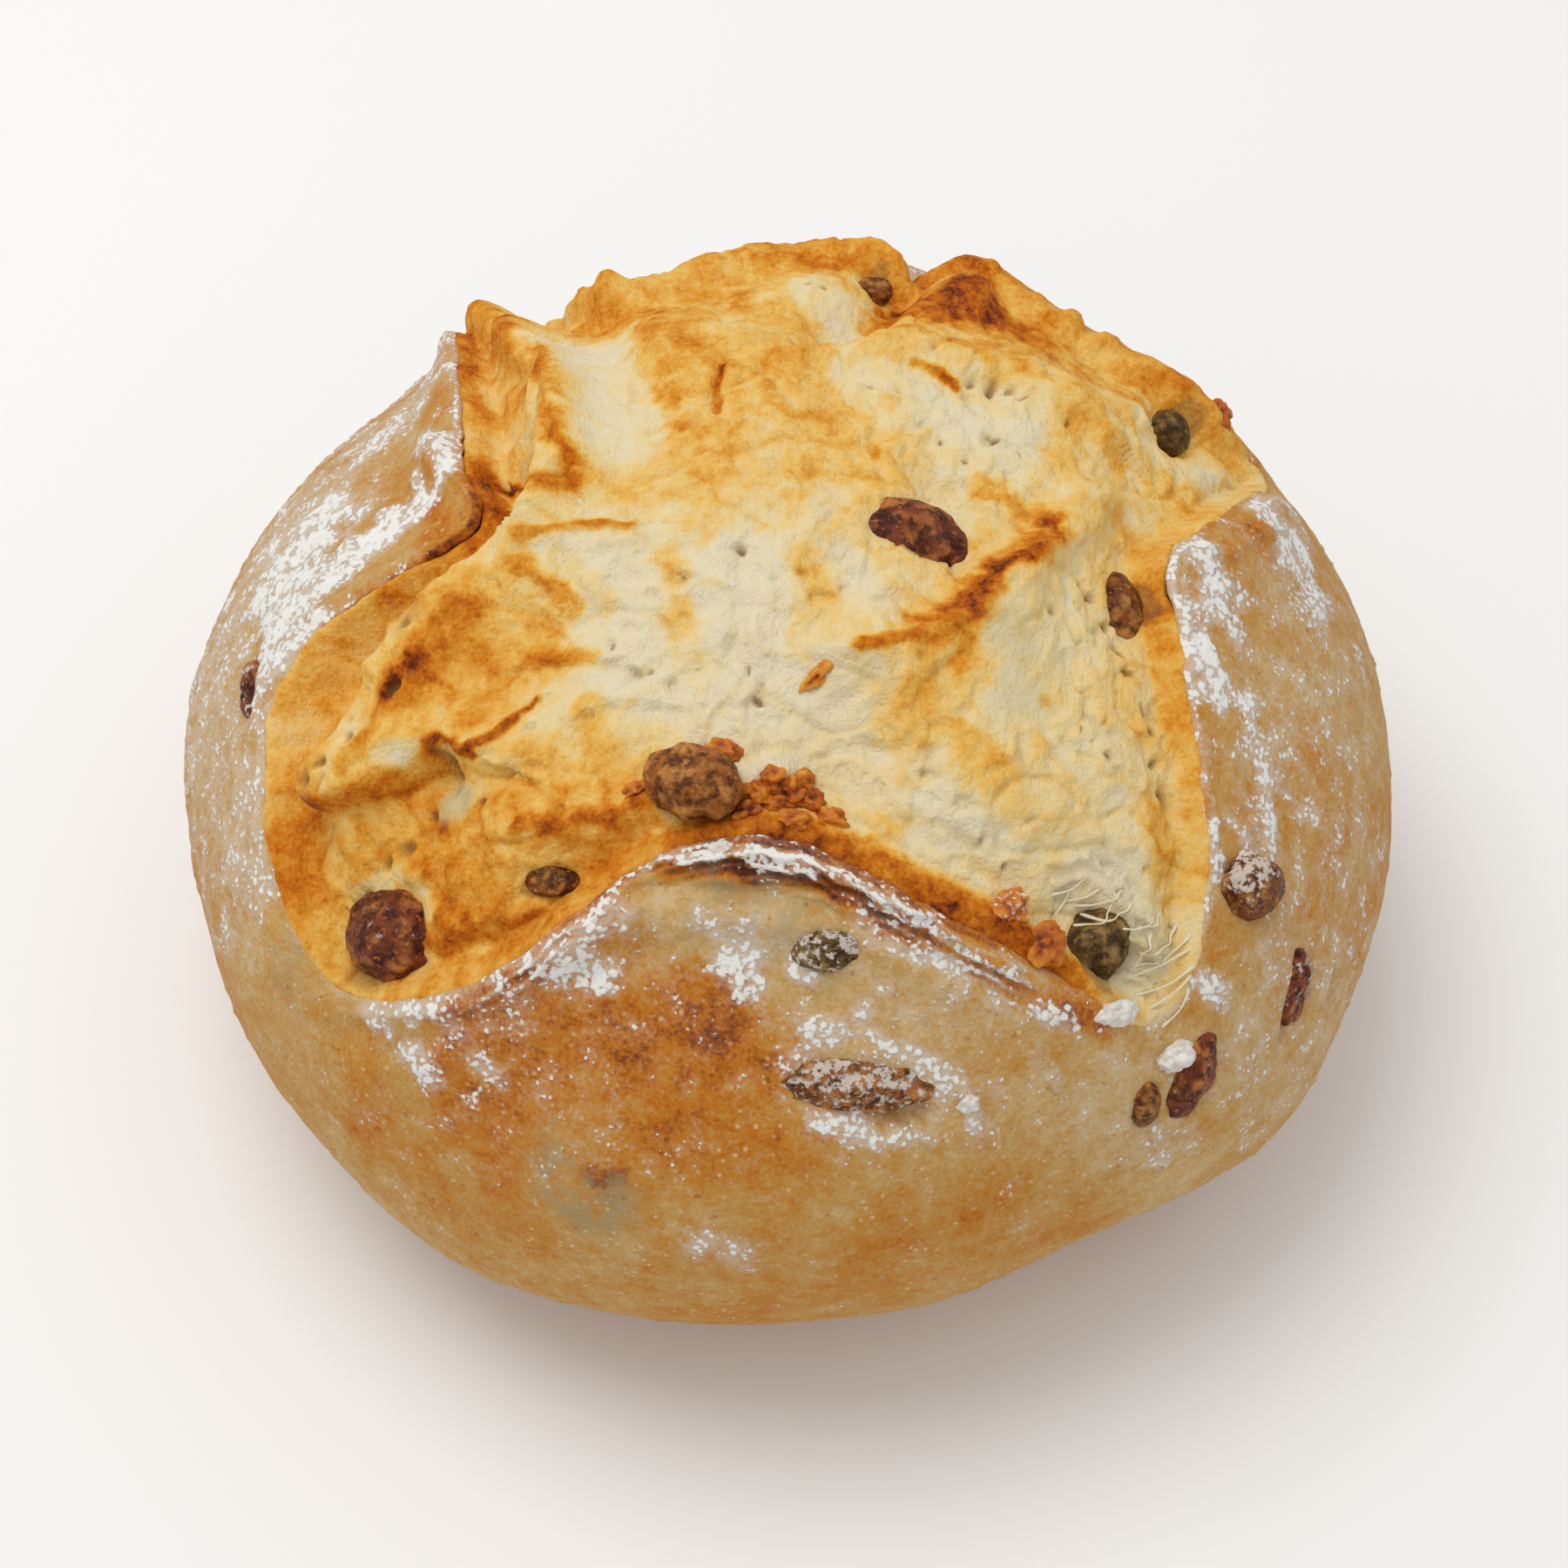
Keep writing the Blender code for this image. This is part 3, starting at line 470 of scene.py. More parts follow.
# The crust's layers, creases and blisters
CRUST_CREASES = folds(
    (0.9, 1.1, 1.1, (-20, -78.5), (-8, -77.5), (4, -79), (17, -84), (31, -89), (40, -92)),
    (-0.8, 0.8, 0.8, (-26, -80), (-12, -80), (0, -81.5), (12, -85), (26, -90)),
    (0.6, 0.9, 0.9, (-16, -82), (0, -83.5), (12, -87), (26, -91.5)),
    (-0.6, 0.6, 0.6, (2, -82), (14, -84.5), (28, -89), (38, -93)),
    (-0.5, 0.9, 0.9, (-52, -88), (-44, -91), (-36, -93)), (-0.4, 0.8, 0.8, (-50, -91), (-42, -93.5), (-34, -95)),
    (0.9, 1.2, 1.2, (-70, 16), (-68, 20), (-63, 20), (-61, 15), (-62, 10)),
    (-1, 1.2, 1.2, (107, -76), (106, -84), (105, -90)), (-0.8, 1, 1, (116, -72), (117, -80)),
    (0.6, 1, 1, (71, 54), (74, 57), (79, 56), (80, 53)), (0.6, 1.6, 1.6, (84, -3), (92, 3), (98, 12)),
)

# Where the crust's edge is torn into thin layers
CRUST_LAYERS = touches(
    (1, 4.5, (-20, -79), (-8, -78.5), (4, -80), (17, -85), (31, -90), (42, -94)),
    (0.7, 4.5, (-34, -84), (-44, -90), (-54, -93)), (0.6, 3.5, (-64, 8), (-60, -3), (-68, -11)),
)

# How far the crust is baked: 0 is pale, 0.45 tan, 0.65 golden brown, 0.8 orange brown and 1 dark
CRUST_BAKE_BASE = 0.5
CRUST_BAKE = touches(
    (0.42, 24, (10, -98), (30, -106), (55, -112)), (0.42, 30, (60, -125), (100, -100), (118, -60)),
    (0.3, 13, (-18, -84), (0, -88), (-8, -96)), (0.66, 30, (-60, -112), (-30, -118), (-10, -122)),
    (0.77, 14, (-44, -98), (-28, -103), (-14, -103)), (0.78, 9, (-12, -110), (-4, -113)),
    (0.7, 14, (-20, -120), (0, -126)), (0.58, 16, (-45, -132), (-10, -136)), (0.88, 2.5, (-38, -125), (-31, -126)),
    (0.58, 26, (-20, -152), (30, -146), (60, -136)), (0.74, 9, (-66, -106), (-54, -112), (-44, -106)),
    (0.72, 8, (-62, -96), (-48, -95), (-34, -91)), (0.46, 20, (-100, -70), (-104, -92), (-90, -112)),
    (0.6, 14, (-84, -100), (-90, -112)), (0.4, 26, (-120, 0), (-116, -40), (-104, 20)),
    (0.7, 5, (-72, 3), (-66, -3), (-70, -6)), (0.62, 6, (-74, 38), (-70, 30)), (0.5, 20, (108, 0), (122, -30)),
    (0.62, 4, (80, -42), (81, -50)), (0.52, 18, (128, -20), (130, -60)), (0.62, 5, (90, 12), (96, 6)),
    (0.82, 2.2, (94, 8)), (0.8, 3.2, (-22, -80), (-8, -80), (4, -81.5), (16, -86), (30, -91), (38, -94)),
    (0.74, 3, (34, -92), (46, -96), (60, -99)), (0.82, 3, (-52, -89), (-44, -92), (-38, -94)),
    (0.6, 8, (-30, 74), (0, 82), (30, 80), (50, 72), (84, 56)), (0.86, 3, (24, 80), (28, 82)),
    (0.86, 4, (48, 72), (53, 68)), (0.82, 5, (38, 78)), (0.74, 4, (86, 53), (94, 50)),
    (0.7, 16, (-60, 110), (-30, 120)), (0.66, 18, (40, 120), (70, 104)), (0.72, 7, (-67, 66), (-72, 84)),
)
CRUST_FLOUR_BASE = 0.08
CRUST_FLOUR = touches(
    (0, 60, (-70, -170), (0, -178), (90, -150)), (0.24, 26, (-60, -104), (-20, -104), (20, -106), (60, -108)),
    (0.45, 9, (-62, -95), (-48, -95), (-34, -92)),
    # the left petal
    (0.54, 34, (-104, 30), (-122, -4), (-120, -36)), (0.44, 16, (-112, -50), (-112, -60)),
    (0.46, 10, (-118, -28), (-117, -46)), (0.56, 12, (-106, -58), (-101, -40)),
    (1, 15, (-99, 14), (-100, 4), (-99, -8)), (1, 9, (-100, -16), (-92, -8), (-84, 0), (-77, 5), (-73, 9)),
    (0.62, 12, (-86, 44), (-78, 52), (-74, 70)), (0.3, 6, (-86, 20), (-90, 26)), (0.8, 5, (-74, 24), (-70, 20)),
    (0.15, 3, (-71, 9), (-70, 13)), (0.95, 4, (-66, 17), (-65, 12)), (0, 7, (-74, -4), (-68, -2), (-66, -6)),
    # the right petal
    (0.34, 34, (108, 0), (120, -50), (108, -92)), (0.36, 16, (92, -30), (94, -56)),
    (0.95, 7.5, (80, -2), (84, -8), (84, -17)), (0.95, 5, (79, -26), (82, -31), (83, -36)),
    (0.75, 2.4, (79, -19), (79, -26)), (0.05, 4, (80, -41), (81, -50)), (0.85, 3.6, (80, -56), (81, -62), (81, -67)),
    (0.8, 4.2, (91, -35), (93, -44), (95, -51), (95, -58)), (0.65, 4, (99, -47), (103, -50)),
    (0.7, 5, (85, -58), (90, -62)), (0.85, 9, (100, 16), (107, 12), (109, 5)), (0.6, 8, (100, 26), (108, 26)),
    (0.75, 3, (80, -86), (86, -88)), (0.5, 3.5, (96, -80), (94, -76)),
    # the front petal
    (0.65, 7, (-52, -90), (-66, -92), (-78, -92)), (0.85, 8, (-33, -86), (-36, -90), (-42, -92)),
    (0.9, 2.2, (-20, -77.5), (-12, -77.5)),
    (0.95, 2.3, (-8, -77.5), (4, -79), (10, -81), (16, -84), (24, -87), (34, -91)),
    (0.6, 4.5, (14, -86), (20, -89), (28, -92), (38, -94)), (0.7, 6, (-12, -90), (-6, -92), (-8, -97)),
    (0.95, 4, (-10, -95), (-5, -97)), (0.8, 2.4, (3, -96), (6, -97)), (0.9, 2.8, (5, -106), (10, -104), (15, -101)),
    (0.8, 1.8, (16, -99), (19, -99)), (0.85, 3.2, (18, -106), (23, -107), (27, -109)), (0.6, 2.5, (42, -93)),
    (0.85, 2.4, (47, -98), (52, -98)),
    (0.7, 2.4, (2, -110), (6, -106), (18, -105), (28, -108), (31, -113), (28, -119), (16, -120), (4, -117)),
    (0.85, 3.2, (34, -112), (36, -116)), (0.5, 3.2, (52, -107)), (0.8, 3.2, (79, -118), (83, -117)),
    (0.45, 6, (76, -113), (86, -112)), (0.85, 4.6, (-68, -92), (-64, -96), (-60, -98)), (0.7, 2.4, (-76, -96)),
    (0.85, 4, (-72, -99), (-69, -103), (-66, -105)), (0.8, 3, (-58, -104), (-54, -108)),
    (0.5, 6, (-18, -138), (-9, -141)),
    # behind
    (0.7, 10, (-40, 106), (-20, 110)), (0.6, 12, (20, 114), (50, 108)), (0.65, 8, (98, 76), (106, 68)),
    (0.6, 14, (-104, 60), (-90, 84)), (0.45, 12, (0, 134), (30, 130)),
)
# Where an olive piece under the crust tints it green or grey
CRUST_TINT = touches(
    (0.85, 9, (-46, -124), (-36, -130)), (0.55, 9, (-12, -86), (0, -88), (8, -94)), (0.9, 3, (8, -94)),
    (0.4, 9, (-97, -78)), (0.6, 4, (104, 14)), (0.5, 4, (80, -100)), (0.4, 4, (20, -104)), (0.5, 3, (-101, -25)),
    (0.6, 8, (-20, 132)),
)

OLIVES = {
    "olive_middle": Olive(27.5, -15, 18.5, 13.0, 11.0, -18.0, "olive_red"),
    "olive_left_corner": Olive(-79.5, -81.5, 16.0, 14.0, 13.0, 10.0, "olive_red"),
    "olive_front_tip": Olive(-16, -66.5, 13.6, 10.0, 9.1, -12.0, "olive_brown"),
    "olive_right_dusted": Olive(89.5, -68, 11.0, 9.0, 8.0, -10.0, "olive_brown"),
    "olive_right_corner": Olive(61.5, -88, 12.4, 10.4, 8.6, 25.0, "olive_green"),
    "olive_right_wall": Olive(71.5, -19, 8.0, 12.0, 8.0, 0.0, "olive_brown"),
    "olive_front_slit": Olive(16, -114, 24.0, 9.0, 8.0, -6.0, "olive_red"),
    "olive_front_right": Olive(82, -102.5, 8.5, 15.0, 8.0, -28.0, "olive_brown"),
    "olive_front_right_small": Olive(72.5, -109, 5.0, 8.5, 6.0, 0.0, "olive_brown"),
    "olive_front_grey": Olive(8.5, -92.5, 10.0, 6.5, 6.0, 10.0, "olive_green"),
    "olive_left_ledge": Olive(-45.5, -80, 9.0, 4.8, 5.4, 5.0, "olive_green"),
    "olive_left_crust": Olive(-107.5, -22.5, 5.0, 12.5, 6.0, 8.0, "olive_red"),
    "olive_right_slit": Olive(106, -80.5, 5.0, 14.0, 6.0, -12.0, "olive_red"),
    "olive_back_edge": Olive(86.5, 45, 8.0, 8.0, 7.4, 0.0, "olive_green"),
    "olive_back_top": Olive(20, 71, 6.0, 6.0, 5.0, 0.0, "olive_brown"),
    "olive_rear_left": Olive(-34, 142, 13.0, 9.0, 8.0, 15.0, "olive_red"),
    "olive_rear_right": Olive(62, 118, 12.0, 8.0, 8.0, -30.0, "olive_brown"),
}
# How floury some olive pieces are: everywhere, and on the side that faces up
OLIVE_FLOUR = {
    "olive_right_dusted": (0.15, 0.8),
    "olive_front_slit": (0.52, 0.25),
    "olive_front_grey": (0.55, 0.25),
    "olive_left_corner": (0.14, 0.0),
    "olive_front_right": (0.06, 0.0),
    "olive_left_crust": (0.45, 0.0),
    "olive_right_slit": (0.4, 0.0),
    "olive_left_ledge": (0.08, 0.0),
}

# Where an olive piece looks unlike the others of its colour
OLIVE_LOOKS = {
    "olive_left_ledge": "olive_brown",
    "olive_front_right": "olive_red",
    "olive_front_tip": "toasted",
    "olive_front_slit": "toasted",
}
# Each look: its material, its colour's name, its dark tone, which is also the painted shade in its creases, and how
# bright its cuts are
OLIVE_FINISHES = {
    "olive_red": ("red_olive", "olive_red", (0.022, 0.003, 0.003), (0.50, 0.165, 0.04)),
    "olive_brown": ("brown_olive", "olive_brown", (0.035, 0.007, 0.003), (0.46, 0.20, 0.045)),
    "olive_green": ("green_olive", "olive_green", (0.022, 0.010, 0.004), (0.30, 0.18, 0.05)),
    "toasted": ("toasted_olive", "olive_toasted", (0.040, 0.009, 0.003), (0.56, 0.24, 0.06)),
}

KNOBS = knobs(
    # the cluster beside the front tip's olive piece
    (-5, -69, 4.5, 3.6, 4, 10, 1.7), (-2, -67, 4, 3.4, 4, -20, 1.9), (1, -69, 4.4, 3.6, 4, 30, 1.8),
    (3.5, -67.5, 3.8, 3.4, 4, 70, 1.7), (-1, -71.5, 4.6, 3.4, 4, 0, 1.4), (5, -71, 4.6, 3.6, 4, -35, 1.5),
    (2, -73.5, 4.6, 3, 3.6, 0, 1.1), (8.5, -73.5, 5, 3, 3.6, -15, 1), (-7, -72.5, 4.6, 3, 3.6, 10, 1),
    # on the front petal's edge
    (42, -84, 5, 4.5, 4.5, 0, 2.4), (47.5, -88, 6, 5, 5, 40, 2.4),
    # a torn bit in the middle and a spike beside the front tip
    (7.5, -47, 7, 2.2, 2.4, 48, 0.8), (-27, -67, 5, 2, 2.4, 25, 1), (-11, -62, 5, 3.4, 3.4, -10, 1.8),
    # on the back edge
    (-70, 91, 5, 4, 4, 0, 1.4), (93, 50, 5, 4, 4, 20, 1.8),
)
# How much more or less some of these are toasted, and the one that is floury
KNOB_TOAST = {11: -0.45, 13: -0.1, 14: 0.2, 15: 0.25}
FLOURY_KNOB = 9
FLOUR_LUMPS = knobs(
    (62, -95.5, 7, 3.6, 2.6, -12, 1.6), (76, -99.5, 6.5, 4.2, 3, -8, 1.8), (-11, -77, 3, 2, 1.8, 0, 0.8),
    (88, -64, 3.4, 2.6, 2, 20, 1), (35, -114, 3, 3, 1.8, 0, 0.8),
)

# Strings of dough that span the tear at the right corner
STRANDS = strands(
    ((78, -80), (69, -89), 0.5, 0.5, 0.2), ((78, -82), (68, -91), 0.5, -0.4, 0.17),
    ((78.5, -84), (69, -93), 0.5, 0.4, 0.2), ((78, -86), (71, -94), 0.4, -0.3, 0.16),
    ((78, -88), (73, -96), 0.3, 0.3, 0.18), ((77, -79), (69, -86), 0.5, 0.7, 0.16),
    ((71, -79), (64, -83), 0.7, 0.8, 0.17), ((67, -78), (58, -83), 0.8, 0.9, 0.18),
    ((65, -76.5), (56, -82), 0.6, 0.7, 0.16), ((61, -77), (53, -82), 0.5, 0.6, 0.2),
    ((58, -76), (51, -81), 0.4, 0.5, 0.17), ((56, -79), (52, -85), 0.4, -0.3, 0.18),
    ((63, -79), (56, -85), 1, 0.5, 0.15), ((70, -82), (68, -90), 0.8, -0.6, 0.15),
    ((73, -78), (68, -82), 0.4, 0.4, 0.18),
)


def rise(value, start, end):
    """0 below start, 1 above end, and a smooth way between them."""
    share = np.clip((value - start) / (end - start), 0.0, 1.0)
    return share * share * (3 - 2 * share)


def scattered(*cell):
    """Three repeatable random numbers, 0 to 1, for the three whole numbers that name a cell."""
    first, second, third = (number * factor for number, factor in zip(cell, CELL_FACTORS))
    mixed = first ^ second ^ third
    mixed = (mixed ^ (mixed >> 13)) * MIXING_FACTOR
    mixed ^= mixed >> 16
    return [(mixed >> shift & 255) / 255 for shift in (0, 8, 16)]


def slopes(cell, away):
    """The height that a cell corner's own slope gives at places away from it."""
    slope = 2 * np.stack(scattered(*cell.T), axis=1) - 1
    return (slope * away).sum(axis=1)


def grain(points, length, seed=0):
    """Smooth noise at points in space, about -1 to 1, with lumps of the given length. Each seed has its own."""
    scaled = points / length + seed * SEED_STEP
    cell = np.floor(scaled).astype(np.int64)
    part = scaled - cell
    fade = part**3 * (part * (part * 6 - 15) + 10)
    total = np.zeros(len(points))
    for corner in product((0, 1), repeat=3):
        weight = np.prod(np.where(corner, fade, 1 - fade), axis=1)
        total += weight * slopes(cell + corner, part - corner)
    return 1.5 * total


def texture(points, *layers):
    """Noise summed over layers, each with its strength, the length of its lumps and its seed."""
    return sum(strength * grain(points, length, seed) for strength, length, seed in layers)


def grains(points, length, seeds, strength=1.0):
    """Smooth noise of its own for each axis, one seed an axis."""
    return strength * np.stack([grain(points, length, seed) for seed in seeds], axis=1)


def frayed(points, seeds):
    """The unevenness of a brushed patch's edge, coarse to fine."""
    coarse, middling, fine = seeds
    return texture(points, (1.0, 6.0, coarse), (0.7, 2.4, middling), (0.4, 1.2, fine))


def spots(chart, spacing, crowding, seed):
    """Round spots of uneven size on the chart: 1 at a spot's middle and 0 outside it. crowding is 0 to 1."""
    cell = np.floor(chart / spacing).astype(np.int64)
    best = np.zeros(len(chart))
    for step in product((-1, 0, 1), repeat=2):
        home = cell + step
        dx, dy, size = scattered(*home.T, seed)
        middle = (home + np.stack([dx, dy], axis=1)) * spacing
        radius = spacing * 0.75 * np.clip(crowding - size, 0, 1) + 1e-6
        away = np.hypot(*(chart - middle).T)
        best = np.maximum(best, 1 - rise(away, 0.25 * radius, radius))
    return best


def line_distance(chart, line):
    """How far chart places lie from a line, and on which side of it."""
    line = np.array(line, float)
    if len(line) == 1:
        return np.hypot(*(chart - line[0]).T), np.ones(len(chart))
    nearest = np.full(len(chart), np.inf)
    side = np.ones(len(chart))
    for start, end in zip(line[:-1], line[1:]):
        run = end - start
        share = np.clip(((chart - start) @ run) / (run @ run), 0, 1)
        away = chart - (start + share[:, None] * run)
        distance = np.hypot(away[:, 0], away[:, 1])
        closer = distance < nearest
        nearest = np.where(closer, distance, nearest)
        side = np.where(closer, run[0] * away[:, 1] - run[1] * away[:, 0], side)
    return nearest, side


def near_line(chart, line, reach):
    """The chart places within reach of a line's box."""
    line = np.array(line, float)
    inside = (chart > line.min(axis=0) - reach) & (chart < line.max(axis=0) + reach)
    return np.flatnonzero(inside.all(axis=1))


def relief(chart, some_folds, some_bumps):
    """The summed height of folds and bumps at chart places."""
    height = np.zeros(len(chart))
    for fold in some_folds:
        some = near_line(chart, fold.line, 3 * max(fold.left, fold.right))
        distance, side = line_distance(chart[some], fold.line)
        reach = np.where(side > 0, fold.left, fold.right)
        height[some] += fold.height * np.exp(-((distance / reach) ** 2))
    for bump in some_bumps:
        distance = np.hypot(chart[:, 0] - bump.x, chart[:, 1] - bump.y)
        height += bump.height * np.exp(-((distance / bump.radius) ** 2))
    return height


def painted(chart, base, brushed, fray):
    """The level at chart places after each touch has been brushed over the ones before it."""
    level = np.full(len(chart), float(base))
    for touch in brushed:
        some = near_line(chart, touch.line, 1.3 * touch.reach)
        distance, _ = line_distance(chart[some], touch.line)
        distance = distance + TOUCH_FRAY * touch.reach * fray[some]
        cover = 1 - rise(distance, touch.reach * (1 - TOUCH_SOFT), touch.reach)
        level[some] += (touch.level - level[some]) * cover
    return level


def wandering(chart, points, strength=1.0):
    """Chart places pushed about a little, which gives an uneven edge to what is laid on them."""
    return chart + strength * (grains(points, 7.0, (11, 13), 1.4) + grains(points, 2.2, (12, 14), 0.6))


def chart_direction(chart):
    """Unit directions from the loaf's middle for chart places in millimetres."""
    reach = np.hypot(chart[:, 0], chart[:, 1])
    angle = reach / LOAF_RADIUS
    across = np.sin(angle) / np.maximum(reach, 1e-9)
    return np.stack([chart[:, 0] * across, chart[:, 1] * across, np.cos(angle)], axis=1)


def envelope_distance(direction):
    """How far the smooth envelope lies from the loaf's middle along each direction."""
    level = np.hypot(direction[:, 0], direction[:, 1])
    upper = direction[:, 2] > 0
    height = np.where(upper, CROWN_ABOVE_WAIST, BELLY_BELOW_WAIST)
    power = np.where(upper, CROWN_ROUNDNESS, BELLY_ROUNDNESS)
    total = (level / LOAF_RADIUS) ** power + (np.abs(direction[:, 2]) / height) ** power
    return total ** (-1 / power)


def on_loaf(chart, lift):
    """Points in space, in millimetres, for chart places raised by lift."""
    direction = chart_direction(chart)
    reach = np.hypot(chart[:, 0], chart[:, 1])
    lift = lift + relief(chart, (), SWELLS) * (1 - rise(reach, SWELLS_END, FOOT_REACH))
    points = LOAF_MIDDLE + direction * (envelope_distance(direction) + lift)[:, None]
    points[:, 2] = np.maximum(points[:, 2], 0.0)
    return points


def waviness(points, length):
    """The model's own broad unevenness, about -1 to 1."""
    return np.array([noise.noise(Vector(point)) for point in points / length])


def rim_samples(count):
    """The rim as a closed smooth curve of count evenly spaced points: a rim point whose values are arrays."""
    corners = np.array(FRONT_PETAL + RIGHT_PETAL + BACK_PETAL + LEFT_PETAL, float)
    share = np.linspace(0, 1, STEPS_BETWEEN_RIM_POINTS, endpoint=False)[:, None]
    before, after, beyond = (np.roll(corners, shift, axis=0) for shift in (1, -1, -2))
    pieces = []
    for p0, p1, p2, p3 in zip(before, corners, after, beyond):
        pieces.append(
            p1
            + 0.5 * share * (p2 - p0)
            + share**2 * (p0 - 2.5 * p1 + 2 * p2 - 0.5 * p3)
            + share**3 * (1.5 * (p1 - p2) + 0.5 * (p3 - p0))
        )
    curve = np.concatenate(pieces)
    closed = np.vstack([curve, curve[:1]])
    length = np.concatenate([[0], np.cumsum(np.hypot(*np.diff(closed[:, :2], axis=0).T))])
    at = np.linspace(0, length[-1], count, endpoint=False)
    return RimPoint(*(np.interp(at, length, column) for column in closed.T))


def rim_outward(place):
    """Unit chart directions that point from the opening into the crust, at each rim sample."""
    reach = max(1, len(place) // 98)
    along = np.roll(place, -reach, axis=0) - np.roll(place, reach, axis=0)
    across = np.stack([along[:, 1], -along[:, 0]], axis=1)
    return across / np.hypot(across[:, 0], across[:, 1])[:, None]


def foot_circle(place):
    """Where each line of the crust meets the edge of the foot, on the chart."""
    spoke = place - OPENING_MIDDLE
    angle = np.unwrap(np.arctan2(spoke[:, 1], spoke[:, 0]))
    even = angle[0] + np.linspace(0, 2 * math.pi, len(place), endpoint=False)
    angle = 0.5 * (angle + even)
    return FOOT_REACH * np.stack([np.cos(angle), np.sin(angle)], axis=1)


def opening(place):
    """For chart places: the angle round the opening's middle, and how far out the given closed line lies there."""
    spoke = place - OPENING_MIDDLE
    angle = np.arctan2(spoke[:, 1], spoke[:, 0])
    order = np.argsort(angle)
    angle, reach = angle[order], np.hypot(*spoke[order].T)
    return lambda at: np.interp(at, angle, reach, period=2 * math.pi), order, angle


def torn_edge(columns):
    """The rim as it shows: its samples, their ragged places, outward directions, ruffled lift and thickness."""
    rim = rim_samples(columns)
    place = np.stack([rim.x, rim.y], axis=1)
    outward = rim_outward(place)
    beside = on_loaf(place, np.zeros(columns))
    ragged = texture(beside, (0.5, 4.2, 1), (0.28, 1.7, 2))
    place = place + outward * ragged[:, None]
    ruffle = texture(beside, (0.45, 6.0, 4), (0.22, 2.4, 5)) + relief(place, (), CREST_LUMPS)
    lip = rim.lip * (1 + 0.3 * grain(beside, 5.0, 3))
    return rim, place, outward, ruffle, lip


def along_edge(chart, place):
    """How far chart places lie from the edge, and a function that reads values of the edge at the nearest point."""
    distance, spot = np.empty(len(chart)), np.empty(len(chart))
    count = len(place)
    for some in np.array_split(np.arange(len(chart)), max(1, len(chart) // 4000)):
        here = chart[some]
        near = ((here[:, None, :] - place[None]) ** 2).sum(axis=2).argmin(axis=1)
        best = np.full(len(some), np.inf)
        for step in (-1, 1):
            run = place[(near + step) % count] - place[near]
            share = np.clip(((here - place[near]) * run).sum(axis=1) / (run * run).sum(axis=1), 0, 1)
            away = np.hypot(*(here - place[near] - share[:, None] * run).T)
            closer = away < best
            best = np.where(closer, away, best)
            spot[some] = np.where(closer, near + step * share, spot[some])
        distance[some] = best

    def read(values):
        low = np.floor(spot).astype(int)
        return values[low % count] + (spot - low) * (values[(low + 1) % count] - values[low % count])

    return distance, read


def closed_faces(rows, columns):
    """Faces that look outward over rows of a closed ring, and fans to one more point before and one after them."""
    row, column = np.meshgrid(np.arange(rows - 1) * columns, np.arange(columns), indexing="ij")
    beside = (column + 1) % columns
    quads = np.stack([row + column, row + columns + column, row + columns + beside, row + beside], axis=-1)
    faces = quads.reshape(-1, 4).tolist()
    first, last, last_row = rows * columns, rows * columns + 1, (rows - 1) * columns
    for k in range(columns):
        faces.append((first, k, (k + 1) % columns))
        faces.append((last_row + k, last, last_row + (k + 1) % columns))
    return faces


def new_piece(name, points, faces, fields, finish):
    """A smooth mesh object from points in millimetres, with its named fields and its material."""
    mesh = bpy.data.meshes.new(name)
    mesh.from_pydata((points * MM).tolist(), [], faces)
    for field, values in fields.items():
        mesh.attributes.new(field, "FLOAT", "POINT").data.foreach_set("value", values.astype(np.float32))
    mesh.shade_smooth()
    mesh.materials.append(finish)
    piece = bpy.data.objects.new(name, mesh)
    bpy.context.scene.collection.objects.link(piece)
    return piece


def around_olives(chart):
    """How deep the loaf's surface dips beside each olive piece, and how near the piece is, 0 to 1."""
    dip = np.zeros(len(chart))
    near = np.zeros(len(chart))
    for olive in OLIVES.values():
        turn = math.radians(olive.turn)
        away = chart - (olive.x, olive.y)
        along = away[:, 0] * math.cos(turn) + away[:, 1] * math.sin(turn)
        across = away[:, 1] * math.cos(turn) - away[:, 0] * math.sin(turn)
        share = np.hypot(along / (olive.length / 2), across / (olive.width / 2))
        dip += np.exp(-((share / 1.08) ** 4)) * min(1.6, 0.2 * olive.depth)
        near = np.maximum(near, 1 - rise(share, 0.9, 1.15))
    return dip, near


def crust_roughness(chart, away, share):
    """The crust's own unevenness, away from the edge and the foot."""
    rough = relief(chart, CRUST_FOLDS, CRUST_BUMPS)
    rough += CRUST_WAVE * waviness(on_loaf(chart, np.zeros(len(chart))), CRUST_WAVE_LENGTH)
    return rough * (1 - rise(share, *CRUST_SETTLES)) * rise(away, 0.0, CALM_BESIDE_EDGE)


